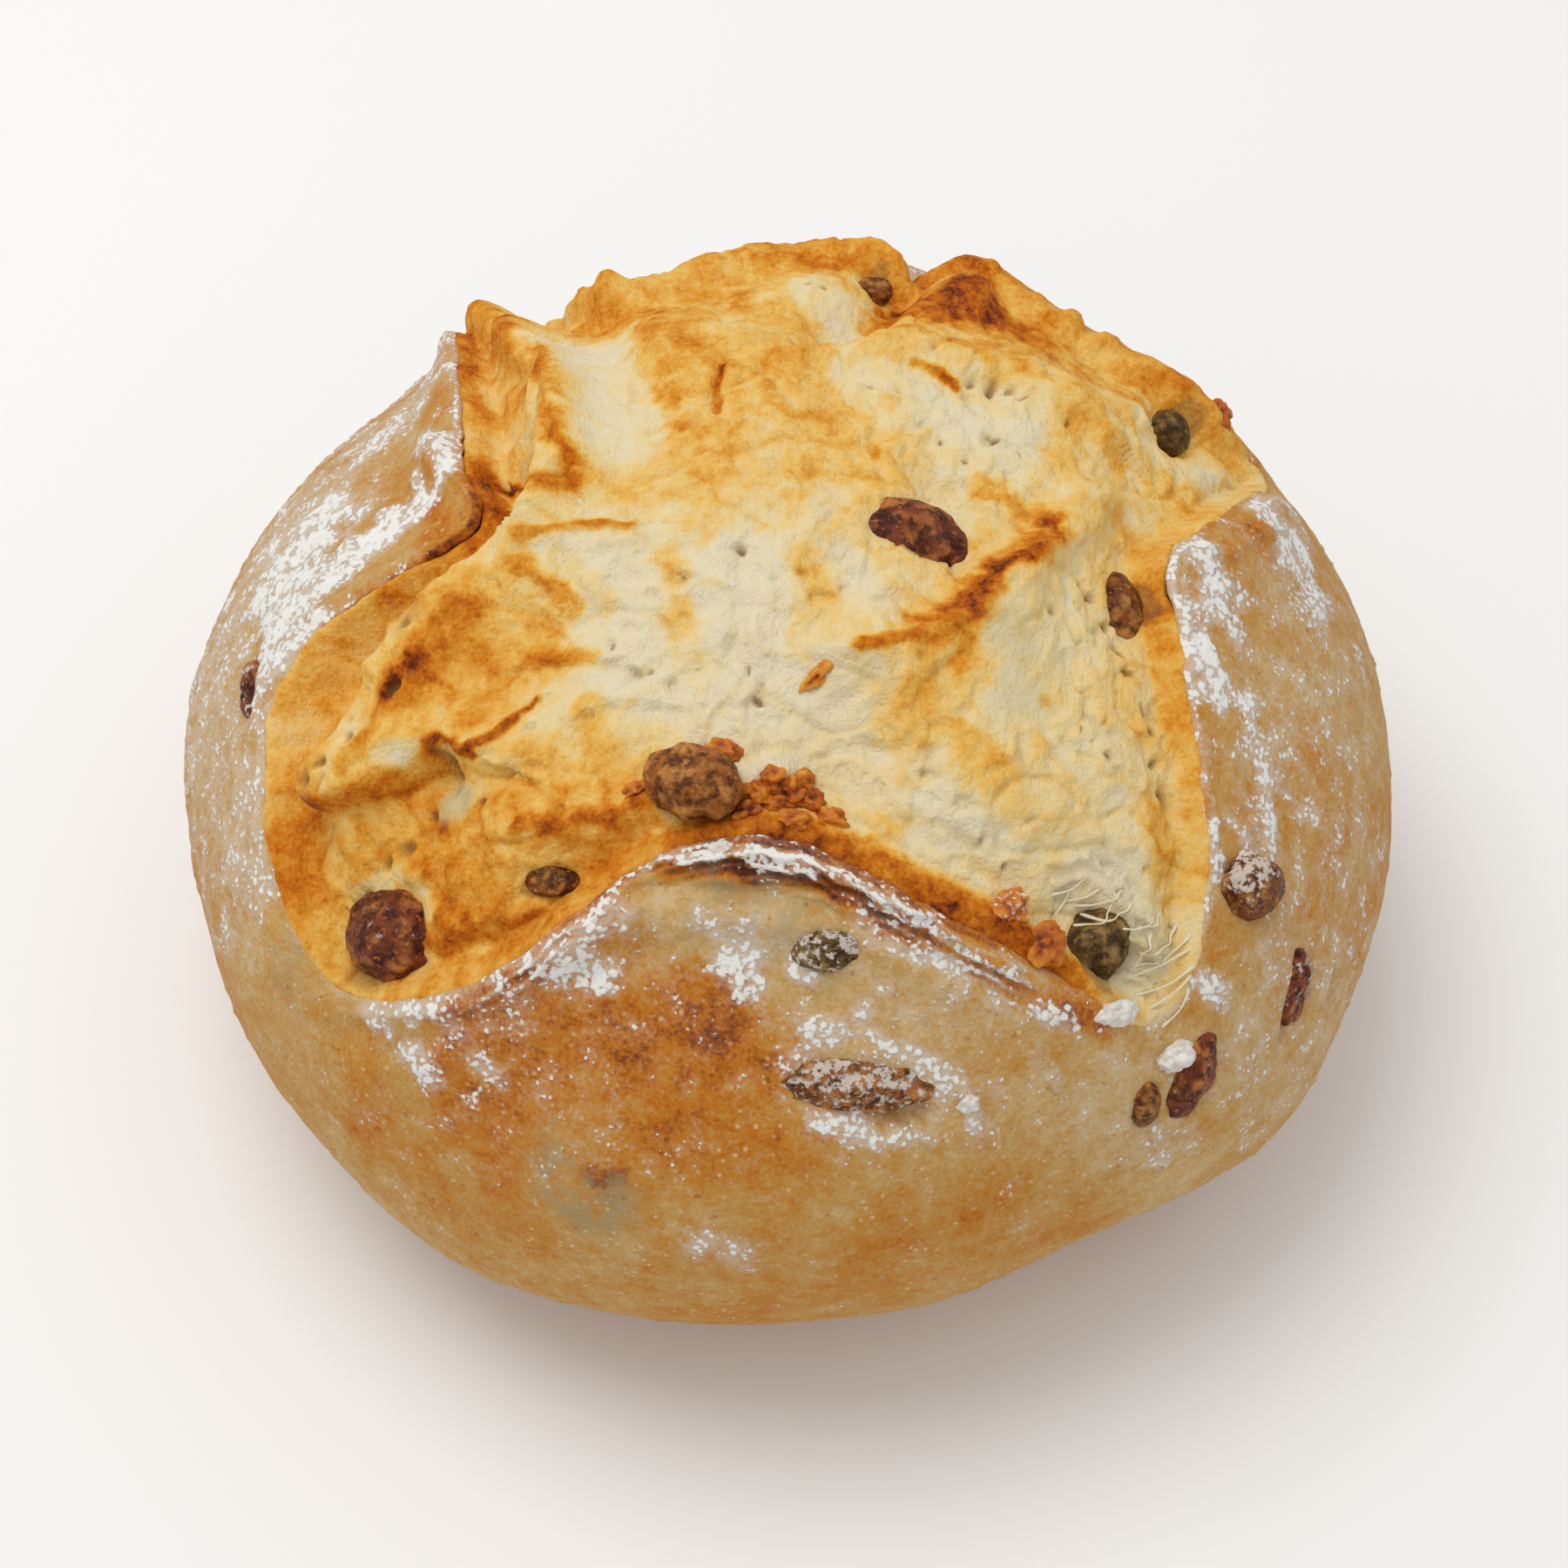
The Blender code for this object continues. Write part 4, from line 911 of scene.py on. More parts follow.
def crust_surface(sizes):
    """Points, faces and fields of the crust: a closed shell from under its edge to the foot."""
    columns = sizes.crust_columns
    rim, place, outward, ruffle, lip = torn_edge(columns)
    sunk = CRUMB_OVER_CRUST * (1 - rim.over)
    foot = foot_circle(place)
    under = rim.edge + ruffle - sunk - lip

    places, lifts, levels = [], [], []
    for inset, drop in UNDERSIDE:
        places.append(place + outward * inset)
        lifts.append(under - drop)
        levels.append(0.0)
    for inset, drop in NOSE:
        places.append(place + outward * (inset * lip)[:, None])
        lifts.append(rim.edge + ruffle - sunk - drop * lip)
        levels.append(1 - 0.5 * drop)
    start = place + outward * EDGE_ROUNDING
    steps = EDGE_ROW + (FAR_ROW - EDGE_ROW) * rise(np.linspace(0, 1, sizes.crust_rows), 0.02, 0.5)
    travelled = np.cumsum(steps) / steps.sum()
    for share in travelled ** (1 / CRUST_EASE):
        chart = start + (foot - start) * share**CRUST_EASE
        away = np.hypot(*(chart - start).T)
        curl = rim.edge * np.exp(-((away / CURL_REACH) ** 2)) - sunk * np.exp(-((away / SUNK_REACH) ** 2))
        places.append(chart)
        lifts.append(curl + ruffle * np.exp(-((away / RUFFLE_REACH) ** 2)) + crust_roughness(chart, away, share))
        levels.append(2.0)
    chart = np.concatenate(places)
    lift = np.concatenate(lifts)
    level = np.repeat(levels, columns)
    top = level == 2.0
    smooth = on_loaf(chart, np.zeros(len(chart)))
    loose = wandering(chart, smooth)
    fray = frayed(smooth, (20, 19, 18))
    away, _ = along_edge(chart, place)

    bake = painted(loose, CRUST_BAKE_BASE, CRUST_BAKE, fray)
    bake += texture(smooth, (0.10, 26, 21), (0.07, 9, 22), (0.05, 3.5, 23))
    flour = painted(loose, CRUST_FLOUR_BASE, CRUST_FLOUR, 1.3 * fray)
    tint = painted(loose, 0, CRUST_TINT, fray)
    floor_share = rise(np.hypot(*chart.T), FOOT_REACH - FOOT_SHADE_BEGINS, FOOT_REACH - FOOT_SHADE_FULL)
    bake += 0.16 * floor_share
    flour *= 1 - floor_share
    dip, near = around_olives(chart)

    beside_edge = np.exp(-((away / EDGE_BAKE_REACH) ** 2))
    bake += (np.tile(rim.bake, len(places)) - bake) * np.where(top, 0.8 * beside_edge, 1.0)
    bake += np.where(top, 0, texture(smooth, (0.12, 4, 32), (0.08, 1.8, 33)))
    rim_flour = np.tile(rim.flour, len(places))
    flour += np.where(top, 0.5 * beside_edge * rim_flour, (level > 0.5) * level * rim_flour - flour)

    layered = painted(loose, 0, CRUST_LAYERS, fray)
    layer = np.sin(2 * math.pi * (away / LAYER_SPACING + texture(smooth, (1.1, 15, 51), (0.45, 3.6, 52))))
    # Painted shade: the grooves between the layers are darkened through the bake level, and the crests take flour
    bake += layered * 0.08 * (0.4 - layer)
    flour += layered * (0.35 * rise(layer, 0.2, 0.9) - 0.1)
    creases = relief(loose, CRUST_CREASES, ())
    blisters = spots(chart, 6.0, 0.45 + 0.25 * grain(smooth, 30, 31), 7)
    skin = texture(smooth, (0.16, 4.2, 24), (0.12, 2.0, 25)) + 0.25 * blisters
    powder = rise(flour + texture(smooth, (0.5, 3.6, 26), (0.5, 1.5, 27)), 0.5, 1.0)
    detail = creases + skin - dip + 0.45 * powder + 0.3 * layered * layer
    lift += np.where(top, detail * (1 - floor_share), 0.15 * grain(smooth, 1.8, 28) * (level > 0.3))
    # Painted shade: the crust darkens in its creases, in the grooves between the edge's layers and beside the olive
    # pieces
    mark = 0.35 * rise(-creases, 0.25, 0.8) + 0.2 * layered * rise(-layer, 0.1, 0.9)
    mark = np.clip(mark + 0.6 * near, 0, 1) * top

    points = on_loaf(chart, lift)
    points[-columns:, 2] = 0.0
    shown = len(points)
    foot_rows = [points[-columns:] * share for share in FOOT_ROWS]
    points = np.vstack([points, *foot_rows, LOAF_MIDDLE[None], np.zeros((1, 3))])
    faces = closed_faces(len(places) + len(foot_rows), columns)
    below = points[shown:]
    none = np.zeros(len(below))
    fields = {
        "bake": np.concatenate([bake, 0.68 + 0.08 * grain(below, 14, 34)]),
        "flour": np.concatenate([flour, none + 0.12]),
        "tint": np.concatenate([tint, none]),
        "mark": np.concatenate([mark, none]),
    }
    return points, faces, fields


def crumb_surface(sizes):
    """Points, faces and fields of the crumb: a fine net over the opening, closed down to the loaf's middle."""
    rim, place, outward, ruffle, lip = torn_edge(sizes.crust_columns)
    smooth_place = np.stack([rim.x, rim.y], axis=1)
    under_edge, order, angle = opening(smooth_place + rim_outward(smooth_place) * EDGE_OVERHANG)
    model_seam = np.minimum(rim.crumb, rim.edge - sizes.edge_thickness / MM - SEAM_DROP)[order]
    edge_reach, lap_order, lap_angle = opening(place)

    spacing = sizes.crumb_spacing / MM
    low, high = place.min(axis=0) - 9, place.max(axis=0) + 9
    xs, ys = (np.arange(low[k], high[k], spacing) for k in range(2))
    chart = np.stack(np.meshgrid(xs, ys), axis=-1).reshape(-1, 2)
    from_middle = chart - OPENING_MIDDLE
    distance = np.hypot(*from_middle.T)
    at = np.arctan2(from_middle[:, 1], from_middle[:, 0])
    tuck = np.interp(at, lap_angle, (CRUMB_TUCK + CRUMB_LAP * (1 - rim.over))[lap_order], period=2 * math.pi)
    inside = distance < edge_reach(at) + tuck
    number = np.where(inside, np.cumsum(inside) - 1, -1).reshape(len(ys), len(xs))
    quads = np.stack([number[:-1, :-1], number[:-1, 1:], number[1:, 1:], number[1:, :-1]], axis=-1).reshape(-1, 4)
    quads = quads[(quads >= 0).all(axis=1)]
    chart, at, distance, tuck = chart[inside], at[inside], distance[inside], tuck[inside]
    share = np.minimum(distance / under_edge(at), 1.0)
    within = distance < edge_reach(at)
    away, read = along_edge(chart, place)
    away = np.where(within, away, -away)

    smooth = on_loaf(chart, np.zeros(len(chart)))
    loose = wandering(chart, smooth, 0.8)
    fray = frayed(smooth, (53, 54, 56))
    seam_here = np.interp(at, angle, model_seam, period=2 * math.pi)
    base = CRUMB_SWELL + (seam_here - CRUMB_SWELL) * share**3
    broad = relief(chart, CRUMB_FOLDS, CRUMB_BUMPS) + CRUMB_LUMP * waviness(smooth, CRUMB_LUMP_LENGTH)
    inner = base + broad * (1 - rise(share, *CRUMB_SETTLES))

    over = read(rim.over)
    edge_lift = read(rim.edge + ruffle)
    meets = edge_lift - over * (read(lip * rise(lip, 0.5, 1.6)) + 0.1) + 0.3 * (1 - over)
    climb = 1 - rise(away, read(rim.roll), read(rim.roll) + 2.4 + 0.45 * np.abs(meets - inner))
    lift = inner + (meets - inner) * climb**1.4
    tucked = meets - 1.5 * rise(-away, 0.0, CRUMB_TUCK)
    far = np.maximum(-away - EDGE_ROUNDING, 0)
    lapped = read(rim.edge) * np.exp(-((far / CURL_REACH) ** 2)) + crust_roughness(chart, far, 0.0)
    lapped += 0.3 + read(ruffle) * np.exp(-((far / RUFFLE_REACH) ** 2))
    lapped -= 2.6 * rise(-away + 0.8 * fray, tuck - 4.5, tuck - 1.0)
    lift = np.where(within, lift, over * tucked + (1 - over) * lapped)

    skin = painted(loose, 0, CRUMB_SKIN, fray)
    porous = painted(loose, 0.2, CRUMB_POROUS, fray) * (1 - 0.8 * skin)
    torn = 1 - 0.7 * skin
    tears = relief(loose, CRUMB_TEARS, ())
    swirl = smooth + grains(smooth, 9, (40, 41, 42), 2.4) + grains(smooth, 3, (37, 38, 39), 0.7)
    ridges = 1 - 2 * np.abs(grain(swirl, 9.0, 43))
    webs = 1 - 2 * np.abs(grain(swirl * (1.0, 0.7, 1.0), 4.2, 44))
    threads = 1 - 2 * np.abs(grain(swirl * (1.0, 0.4, 1.0), 2.0, 45))
    fine = grain(smooth * (1.0, 0.6, 1.0), 1.3, 47)
    cracks = rise(1 - 2.6 * np.abs(grain(swirl * (0.8, 1.0, 1.0), 11.0, 46)), 0.72, 0.98)
    pores = rise(grain(swirl * (1.0, 0.8, 1.0), 2.9, 48), 0.52 - 0.3 * porous, 0.85 - 0.25 * porous)
    small_pores = rise(grain(smooth, 1.55, 49), 0.42 - 0.25 * porous, 0.75 - 0.2 * porous)
    pits = np.zeros(len(chart))
    depth = np.zeros(len(chart))
    ragged = wandering(chart, smooth, 0.35) + grains(smooth, 1.6, (55, 56), 0.35)
    for turn, pit in enumerate(PITS):
        away_x, away_y = ragged[:, 0] - pit.x, ragged[:, 1] - pit.y
        along = (away_x * math.cos(turn) + away_y * math.sin(turn)) / 1.3
        across = (away_y * math.cos(turn) - away_x * math.sin(turn)) * 1.3
        cover = np.exp(-((np.hypot(along, across) / pit.radius) ** 2.5))
        pits = np.maximum(pits, cover)
        depth = np.maximum(depth, cover * pit.height)
    dip, near = around_olives(chart)
    detail = (
        tears
        + (0.9 * (ridges - 0.4) + 0.5 * (webs - 0.4) + 0.15 * (threads - 0.4)) * torn
        + 0.14 * fine
        - (0.8 * pores + 0.35 * small_pores + 0.4 * cracks) * torn
        - depth
    )
    quiet = np.where(within, 0.25 + 0.75 * rise(away, 0.0, 3.0), 0.25 + 0.5 * (1 - over))
    lift += detail * quiet - dip

    toast = painted(loose, CRUMB_TOAST_BASE, CRUMB_TOAST, fray)
    glow_cover = 1 - rise(away + 0.22 * read(rim.reach) * fray, 0.6 * read(rim.reach), read(rim.reach))
    toast += (read(rim.glow) - toast) * np.where(within, glow_cover, 1.0)
    lively = 0.35 + 2.6 * np.clip(toast, 0, 1) * (1 - np.clip(toast, 0, 1))
    toast += (0.10 * (ridges - 0.4) + 0.09 * (webs - 0.4) + 0.06 * (threads - 0.4) + 0.08 * cracks) * lively
    toast += 0.09 * grain(smooth, 17, 57) + 0.08 * grain(smooth * (1.0, 0.4, 1.0), 6, 58)
    # Painted shade: the crumb's colour is darkened in its pits, pores and cracks and in a ring beside the olive
    # pieces
    hollow = np.clip(0.85 * pits + (0.42 * pores + 0.2 * small_pores + 0.12 * cracks) * torn + 0.7 * near, 0, 1)
    fields = {
        "toast": toast,
        "hollow": hollow,
        "grey": painted(loose, 0.04, CRUMB_GREY, fray),
        "skin": skin,
    }
    points = np.vstack([on_loaf(chart, lift), LOAF_MIDDLE[None]])
    fields = {name: np.append(values, 0.3) for name, values in fields.items()}
    faces = quads.tolist()
    edges = np.concatenate([quads[:, [k, (k + 1) % 4]] for k in range(4)])
    keys = edges.min(axis=1) * len(points) + edges.max(axis=1)
    _, first, uses = np.unique(keys, return_index=True, return_counts=True)
    middle = len(points) - 1
    faces += [(int(b), int(a), middle) for a, b in edges[first[uses == 1]]]
    used = np.zeros(len(points), bool)
    used[quads.ravel()] = True
    used[middle] = True
    return points, faces, fields, used


def without_unused(points, faces, fields, used):
    """The same piece without the points that no face uses."""
    number = np.cumsum(used) - 1
    faces = [tuple(int(number[k]) for k in face) for face in faces]
    return points[used], faces, {name: values[used] for name, values in fields.items()}


def surface_tree(*names):
    """A tree of the faces of the named pieces, for rays."""
    points, faces = [], []
    for name in names:
        mesh = bpy.data.objects[name].data
        start = len(points)
        points += [vertex.co.copy() for vertex in mesh.vertices]
        faces += [[start + k for k in face.vertices] for face in mesh.polygons]
    return BVHTree.FromPolygons(points, faces)


def surface_place(tree, outward):
    """Where the surface lies in a direction from the loaf's middle, in metres."""
    return tree.ray_cast(Vector(LOAF_MIDDLE) * MM + outward * RAY_START, -outward)[0]


def joined(groups):
    """The points and faces of several closed pieces as one."""
    points, faces = [], []
    for made, sides in groups:
        start = sum(len(group) for group in points)
        points.append(made)
        faces += [tuple(start + k for k in face) for face in sides]
    return np.vstack(points), faces


def turned_frame(x, y, turn):
    """A turn whose third axis points out of the loaf at a chart place, and whose first runs to the right there."""
    outward = Vector(chart_direction(np.array([[x, y]]))[0])
    right = Vector((1, 0, 0)) - outward * outward.x
    right.normalize()
    back = outward.cross(right)
    frame_here = Matrix((right, back, outward)).transposed()
    return frame_here @ Matrix.Rotation(math.radians(turn), 3, "Z"), outward


def ball(segments, rings):
    """A unit ball: its points and its faces."""
    rows = np.arange(1, rings) * math.pi / rings
    turns = np.arange(segments) * 2 * math.pi / segments
    tall, wide = np.meshgrid(rows, turns, indexing="ij")
    points = np.stack([np.sin(tall) * np.cos(wide), np.sin(tall) * np.sin(wide), np.cos(tall)], axis=-1)
    points = np.vstack([points.reshape(-1, 3), [[0, 0, 1], [0, 0, -1]]])
    return points, closed_faces(rings - 1, segments)


def olive_surface(olive, node_middle, flour):
    """A moist olive piece on the model's own ellipsoid, with the folds and the torn flesh of a real one."""
    around = int(np.clip(math.pi * (olive.length + olive.width) / 2 / OLIVE_MESH_STEP, *OLIVE_POINTS_AROUND))
    unit, faces = ball(around, int(0.66 * around))
    half = np.array((olive.length, olive.width, olive.depth)) / 2
    seed = np.array((olive.x, olive.y, 0.0))
    broad = waviness(unit * OLIVE_WRINKLES_ACROSS + seed, 1.0)
    local = unit * half
    swirl = local + grains(local + seed, 4.5, (60, 61, 62), 1.3)
    creased = 1 - 2 * np.abs(grain(swirl + seed, 5.0, 63))
    wrinkles = 1 - 2 * np.abs(grain(swirl * (0.5, 1.0, 1.0) + seed, 2.0, 64))
    rough = grain(local + seed, 1.0, 65)
    size = (1 + OLIVE_WRINKLE * broad)[:, None]
    depth = OLIVE_FOLD * (creased - 0.35) + OLIVE_CREASE * (wrinkles - 0.4) + OLIVE_ROUGHNESS * rough
    points = local * size + unit * depth[:, None]
    turned, _ = turned_frame(olive.x, olive.y, olive.turn)
    turned = np.array(turned)
    points = points @ turned.T + node_middle
    everywhere, above = flour
    dust = everywhere + above * rise((unit @ turned.T)[:, 2] + 0.25 * rough, 0.35, 0.95)
    # Painted shade in the folds and wrinkles of the flesh
    crease = np.clip(0.55 - 0.5 * creased - 0.35 * wrinkles, 0, 1)
    return points, faces, {"crease": crease, "flour": dust, "cut": np.clip(0.5 + 0.7 * broad, 0, 1)}


def knob_surface(knob, tree, seed, lumpiness):
    """A rough lump seated on the loaf's surface, in millimetres."""
    unit, faces = ball(*KNOB_POINTS)
    half = np.array((knob.length, knob.width, knob.depth)) / 2
    shift = np.array((seed * 3.7, knob.x, knob.y))
    size = 1 + lumpiness * grain(unit * 1.3 + shift, 1.0, 70) + 0.35 * lumpiness * grain(unit * 3 + shift, 1.0, 71)
    crags = 1 - 2 * np.abs(grain(unit * half + shift, 1.5, 72)) + 0.5 * grain(unit * half + shift, 0.7, 73)
    points = unit * half * size[:, None] + unit * (0.3 * (crags - 0.5))[:, None]
    turned, outward = turned_frame(knob.x, knob.y, knob.turn)
    centre = np.array(surface_place(tree, outward)) / MM + np.array(outward) * (knob.proud - knob.depth / 2)
    # The third value is lower in the lump's dips and crag troughs; the knobs' colour darkens there, painted shade
    return points @ np.array(turned).T + centre, faces, size + 0.25 * (crags - 0.5)


def strand_surface(strand, tree, seed):
    """A thin, uneven string of dough that hangs over the surface, in millimetres."""
    share = np.linspace(0, 1, STRAND_STEPS)
    start, end = np.array(strand.start, float), np.array(strand.end, float)
    aside = np.array((start[1] - end[1], end[0] - start[0])) / np.hypot(*(end - start))
    arch = np.sin(math.pi * share)
    chart = start + share[:, None] * (end - start) + (strand.bow * arch)[:, None] * aside
    outward = chart_direction(chart)
    ground = np.array([surface_place(tree, Vector(way)) for way in outward])
    reach = np.linalg.norm(ground / MM - LOAF_MIDDLE, axis=1)
    taut = reach[0] + share * (reach[-1] - reach[0])
    reach = np.maximum(reach, taut) + strand.height * arch - 0.4 * (1 - arch)
    for _ in range(3):
        reach[1:-1] = (reach[:-2] + 2 * reach[1:-1] + reach[2:]) / 4
    middle = LOAF_MIDDLE + outward * reach[:, None]
    along = np.gradient(middle, axis=0)
    along /= np.linalg.norm(along, axis=1)[:, None]
    side = np.cross(along, outward)
    side /= np.linalg.norm(side, axis=1)[:, None]
    up = np.cross(side, along)
    turns = np.arange(STRAND_SIDES) * 2 * math.pi / STRAND_SIDES
    thick = strand.radius * (1 + 0.5 * grain(middle, 2.2, 80 + seed)) * (1.7 - arch)
    ring = np.cos(turns)[None, :, None] * side[:, None] + np.sin(turns)[None, :, None] * up[:, None]
    points = (middle[:, None] + ring * thick[:, None, None]).reshape(-1, 3)
    points = np.vstack([points, middle[:1], middle[-1:]])
    return points, closed_faces(STRAND_STEPS, STRAND_SIDES)


class Wire:
    """A node's output in a material, so that shader maths can be written as expressions."""

    def __init__(self, tree, socket=None):
        self.tree = tree
        self.socket = socket

    def node(self, kind, settings, sockets, output=0):
        """Adds a node, with its settings first and then its sockets' values or links."""
        made = self.tree.nodes.new(kind)
        for name, value in settings.items():
            if name == "stops":
                ramp = made.color_ramp
                while len(ramp.elements) < len(value):
                    ramp.elements.new(0.5)
                for element, (place, colour) in zip(ramp.elements, value):
                    element.position, element.color = place, tuple(colour)
            else:
                setattr(made, name, value)
        for name, value in sockets.items():
            if isinstance(value, Wire):
                self.tree.links.new(value.socket, made.inputs[name])
            else:
                made.inputs[name].default_value = value
        return Wire(self.tree, made.outputs[output])

    def maths(self, operation, first, second=0.0):
        return self.node("ShaderNodeMath", {"operation": operation}, {0: first, 1: second})

    def __add__(self, other):
        return self.maths("ADD", self, other)

    __radd__ = __add__

    def __mul__(self, other):
        return self.maths("MULTIPLY", self, other)

    __rmul__ = __mul__

    def __sub__(self, other):
        return self.maths("SUBTRACT", self, other)

    def __rsub__(self, other):
        return self.maths("SUBTRACT", other, self)

    def between(self, low, high):
        """0 below low, 1 above high, and a smooth way between them."""
        values = {"Value": self, "From Min": low, "From Max": high}
        return self.node("ShaderNodeMapRange", {"interpolation_type": "SMOOTHSTEP"}, values)

    def mix(self, without, covered):
        """One colour where this mask is 0 and the other where it is 1."""
        return self.node("ShaderNodeMix", {"data_type": "RGBA"}, {0: self, 6: without, 7: covered}, 2)

    def stretch(self, scale):
        return self.node("ShaderNodeVectorMath", {"operation": "MULTIPLY"}, {0: self, 1: scale})

    def field(self, name):
        """A value that the mesh carries."""
        return self.node("ShaderNodeAttribute", {"attribute_name": name}, {}, "Fac")

    def speckle(self, size, detail=2.0, roughness=0.5):
        """Noise whose lumps have a size in metres, from 0 to 1."""
        values = {"Vector": self, "Scale": 1 / size, "Detail": detail, "Roughness": roughness}
        return self.node("ShaderNodeTexNoise", {}, values)

    def cells(self, size):
        """How far places lie from the middles of grains of a size in metres, in sizes."""
        return self.node("ShaderNodeTexVoronoi", {}, {"Vector": self, "Scale": 1 / size}, "Distance")

    def ramp(self, stops):
        return self.node("ShaderNodeValToRGB", {"stops": stops}, {0: self})

    def raised(self, distance, strength=1.0):
        """A normal for this height."""
        return self.node("ShaderNodeBump", {}, {"Height": self, "Distance": distance, "Strength": strength}, "Normal")


def start_material(name):
    """A new material's shader, and its places on the object as a wire."""
    made = bpy.data.materials.new(name)
    made.use_nodes = True
    shader = made.node_tree.nodes["Principled BSDF"]
    places = Wire(made.node_tree).node("ShaderNodeTexCoord", {}, {}, "Object")
    return made, shader, places


def finish_material(made, shader, colour, roughness, normal, specular=0.3):
    for wire, name in ((colour, "Base Color"), (roughness, "Roughness"), (normal, "Normal")):
        made.node_tree.links.new(wire.socket, shader.inputs[name])
    shader.inputs["Metallic"].default_value = 0.0
    shader.inputs["Specular IOR Level"].default_value = specular
    return made


def crust_finish(colours):
    """Baked crust: tan to orange brown, flecked, tinted over the olives, dusted with flour, with painted shade in its
    creases and beside the olive pieces.
    """
    made, shader, places = start_material("baked_crust")
    cloud = places.speckle(0.012, 3)
    mottle = places.speckle(0.0026, 4, 0.6)
    fine = places.speckle(0.0007, 3, 0.6)
    bake = places.field("bake") + (cloud - 0.5) * 0.4 + (mottle - 0.5) * 0.45 + (fine - 0.5) * 0.45
    colour = bake.ramp(
        (
            (0.10, colours.crust_pale),
            (0.30, colours.crust_light),
            (0.44, colours.crust_tan),
            (0.60, colours.crust_golden),
            (0.75, colours.crust_orange),
            (0.88, colours.crust_brown),
            (1.00, colours.crust_dark),
        )
    )
    tint = places.field("tint") * places.speckle(0.004, 3).between(0.35, 0.6)
    colour = (tint * 0.8).mix(colour, colours.crust_green)
    zones = places.speckle(0.009, 2).between(0.35, 0.6)
    fleck = (1 - places.cells(0.0019).between(0.10, 0.24)) * (zones * 0.8 + 0.2)
    colour = (fleck * 0.55).mix(colour, colours.fleck)
    pepper = places.stretch((1.0, 1.0, 1.3)).speckle(0.0016, 2, 0.6).between(0.66, 0.74)
    colour = (pepper * 0.5).mix(colour, colours.crust_brown)
    # Painted shade in the creases, in the grooves between the layers and beside the olive pieces
    mark = (places.field("mark") + (mottle - 0.5) * 0.3).between(0.1, 0.9)
    colour = (mark * 0.85).mix(colour, colours.crust_crease_shade)
    flour = places.field("flour")
    clump = places.speckle(0.0045, 3, 0.55)
    speckled = places.speckle(0.0008, 2, 0.6)
    beads = 0.42 - places.cells(0.0011)
    dust = flour + (clump - 0.5) * 1.9 + (speckled - 0.5) * 1.1 + beads * 1.1
    cover = dust.between(0.56, 0.82)
    thin = (flour + (clump - 0.5) * 1.2 + (speckled - 0.5) * 0.8).between(0.10, 0.9)
    veil = thin * (0.72 - bake.between(0.55, 0.85) * 0.55)
    colour = veil.mix(colour, colours.flour_veil)
    colour = (cover * 0.92).mix(colour, colours.flour)
    roughness = cover * 0.25 + 0.6 + (mottle - 0.5) * 0.1
    height = mottle * 0.5 + fine * 0.4 + dust.between(0.4, 1.0) * 0.35
    return finish_material(made, shader, colour, roughness, height.raised(0.0007, 0.85), 0.1)


def crumb_finish(colours):
    """Torn crumb: cream, gold and toasted, with painted shade in its pores, pits and cracks and beside the olive
    pieces, and a damp grey-green where it is thin.
    """
    made, shader, places = start_material("torn_crumb")
    cloud = places.speckle(0.009, 3)
    mottle = places.speckle(0.0024, 4, 0.6)
    fine = places.speckle(0.0007, 3, 0.6)
    fibres = places.stretch((1.0, 0.3, 1.0)).speckle(0.0008, 3, 0.6)
    skin = places.field("skin")
    level = places.field("toast")
    uneven = level.between(0.0, 0.6) * 0.6 + 0.4
    toast = level + ((cloud - 0.5) * 0.45 + (mottle - 0.5) * 0.5 + (fine - 0.5) * 0.35) * uneven
    colour = toast.ramp(
        (
            (0.06, colours.crumb_cream),
            (0.24, colours.crumb_butter),
            (0.45, colours.crumb_gold),
            (0.63, colours.crumb_amber),
            (0.77, colours.crumb_orange),
            (0.90, colours.crumb_toasted),
            (1.00, colours.crumb_dark),
        )
    )
    grey = places.field("grey") + (mottle - 0.5) * 0.3
    colour = (grey.between(0.1, 0.9) * 0.8).mix(colour, colours.crumb_grey)
    streak = fibres.between(0.52, 0.72) * (1 - skin) * 0.15
    colour = streak.mix(colour, colours.crumb_gold)
    # Painted shade in the pores, pits and cracks and beside the olive pieces
    hollow = places.field("hollow") + (fine - 0.5) * 0.3
    colour = (hollow.between(0.25, 1.0) * 0.8).mix(colour, colours.hollow)
    roughness = 0.80 - skin * 0.2 + (mottle - 0.5) * 0.1
    height = mottle * 0.6 + fine * 0.4 + fibres * (1 - skin) * 0.4
    return finish_material(made, shader, colour, roughness, height.raised(0.0010, 0.8), 0.08)


def olive_finish(name, colours, flesh, deep, bright):
    """Moist olive flesh: mottled, with painted shade in its creases, brighter where it was cut and floury where dough
    was.
    """
    made, shader, places = start_material(name)
    mottle = places.speckle(0.0018, 4, 0.65)
    cloud = places.speckle(0.0045, 2)
    cut = (places.field("cut") + (cloud - 0.5) * 1.2).between(0.38, 0.85)
    colour = cut.mix(flesh, bright)
    colour = (mottle.between(0.36, 0.60) * 0.85 + 0.15).mix(deep, colour)
    # Painted shade in the folds and wrinkles
    colour = (places.field("crease") * 0.8).mix(colour, deep)
    freckle = places.speckle(0.0010, 2, 0.6).between(0.58, 0.68)
    colour = (freckle * 0.6).mix(colour, bright)
    dust = (places.field("flour") + (places.speckle(0.0011, 3, 0.6) - 0.5) * 3.2).between(0.55, 0.9)
    colour = (dust * 0.85).mix(colour, colours.flour_veil)
    roughness = 0.36 + mottle * 0.2 + dust * 0.35
    height = mottle * 0.7 + places.speckle(0.0006, 2) * 0.4 + dust * 0.4
    return finish_material(made, shader, colour, roughness, height.raised(0.0006, 0.9), 0.14)


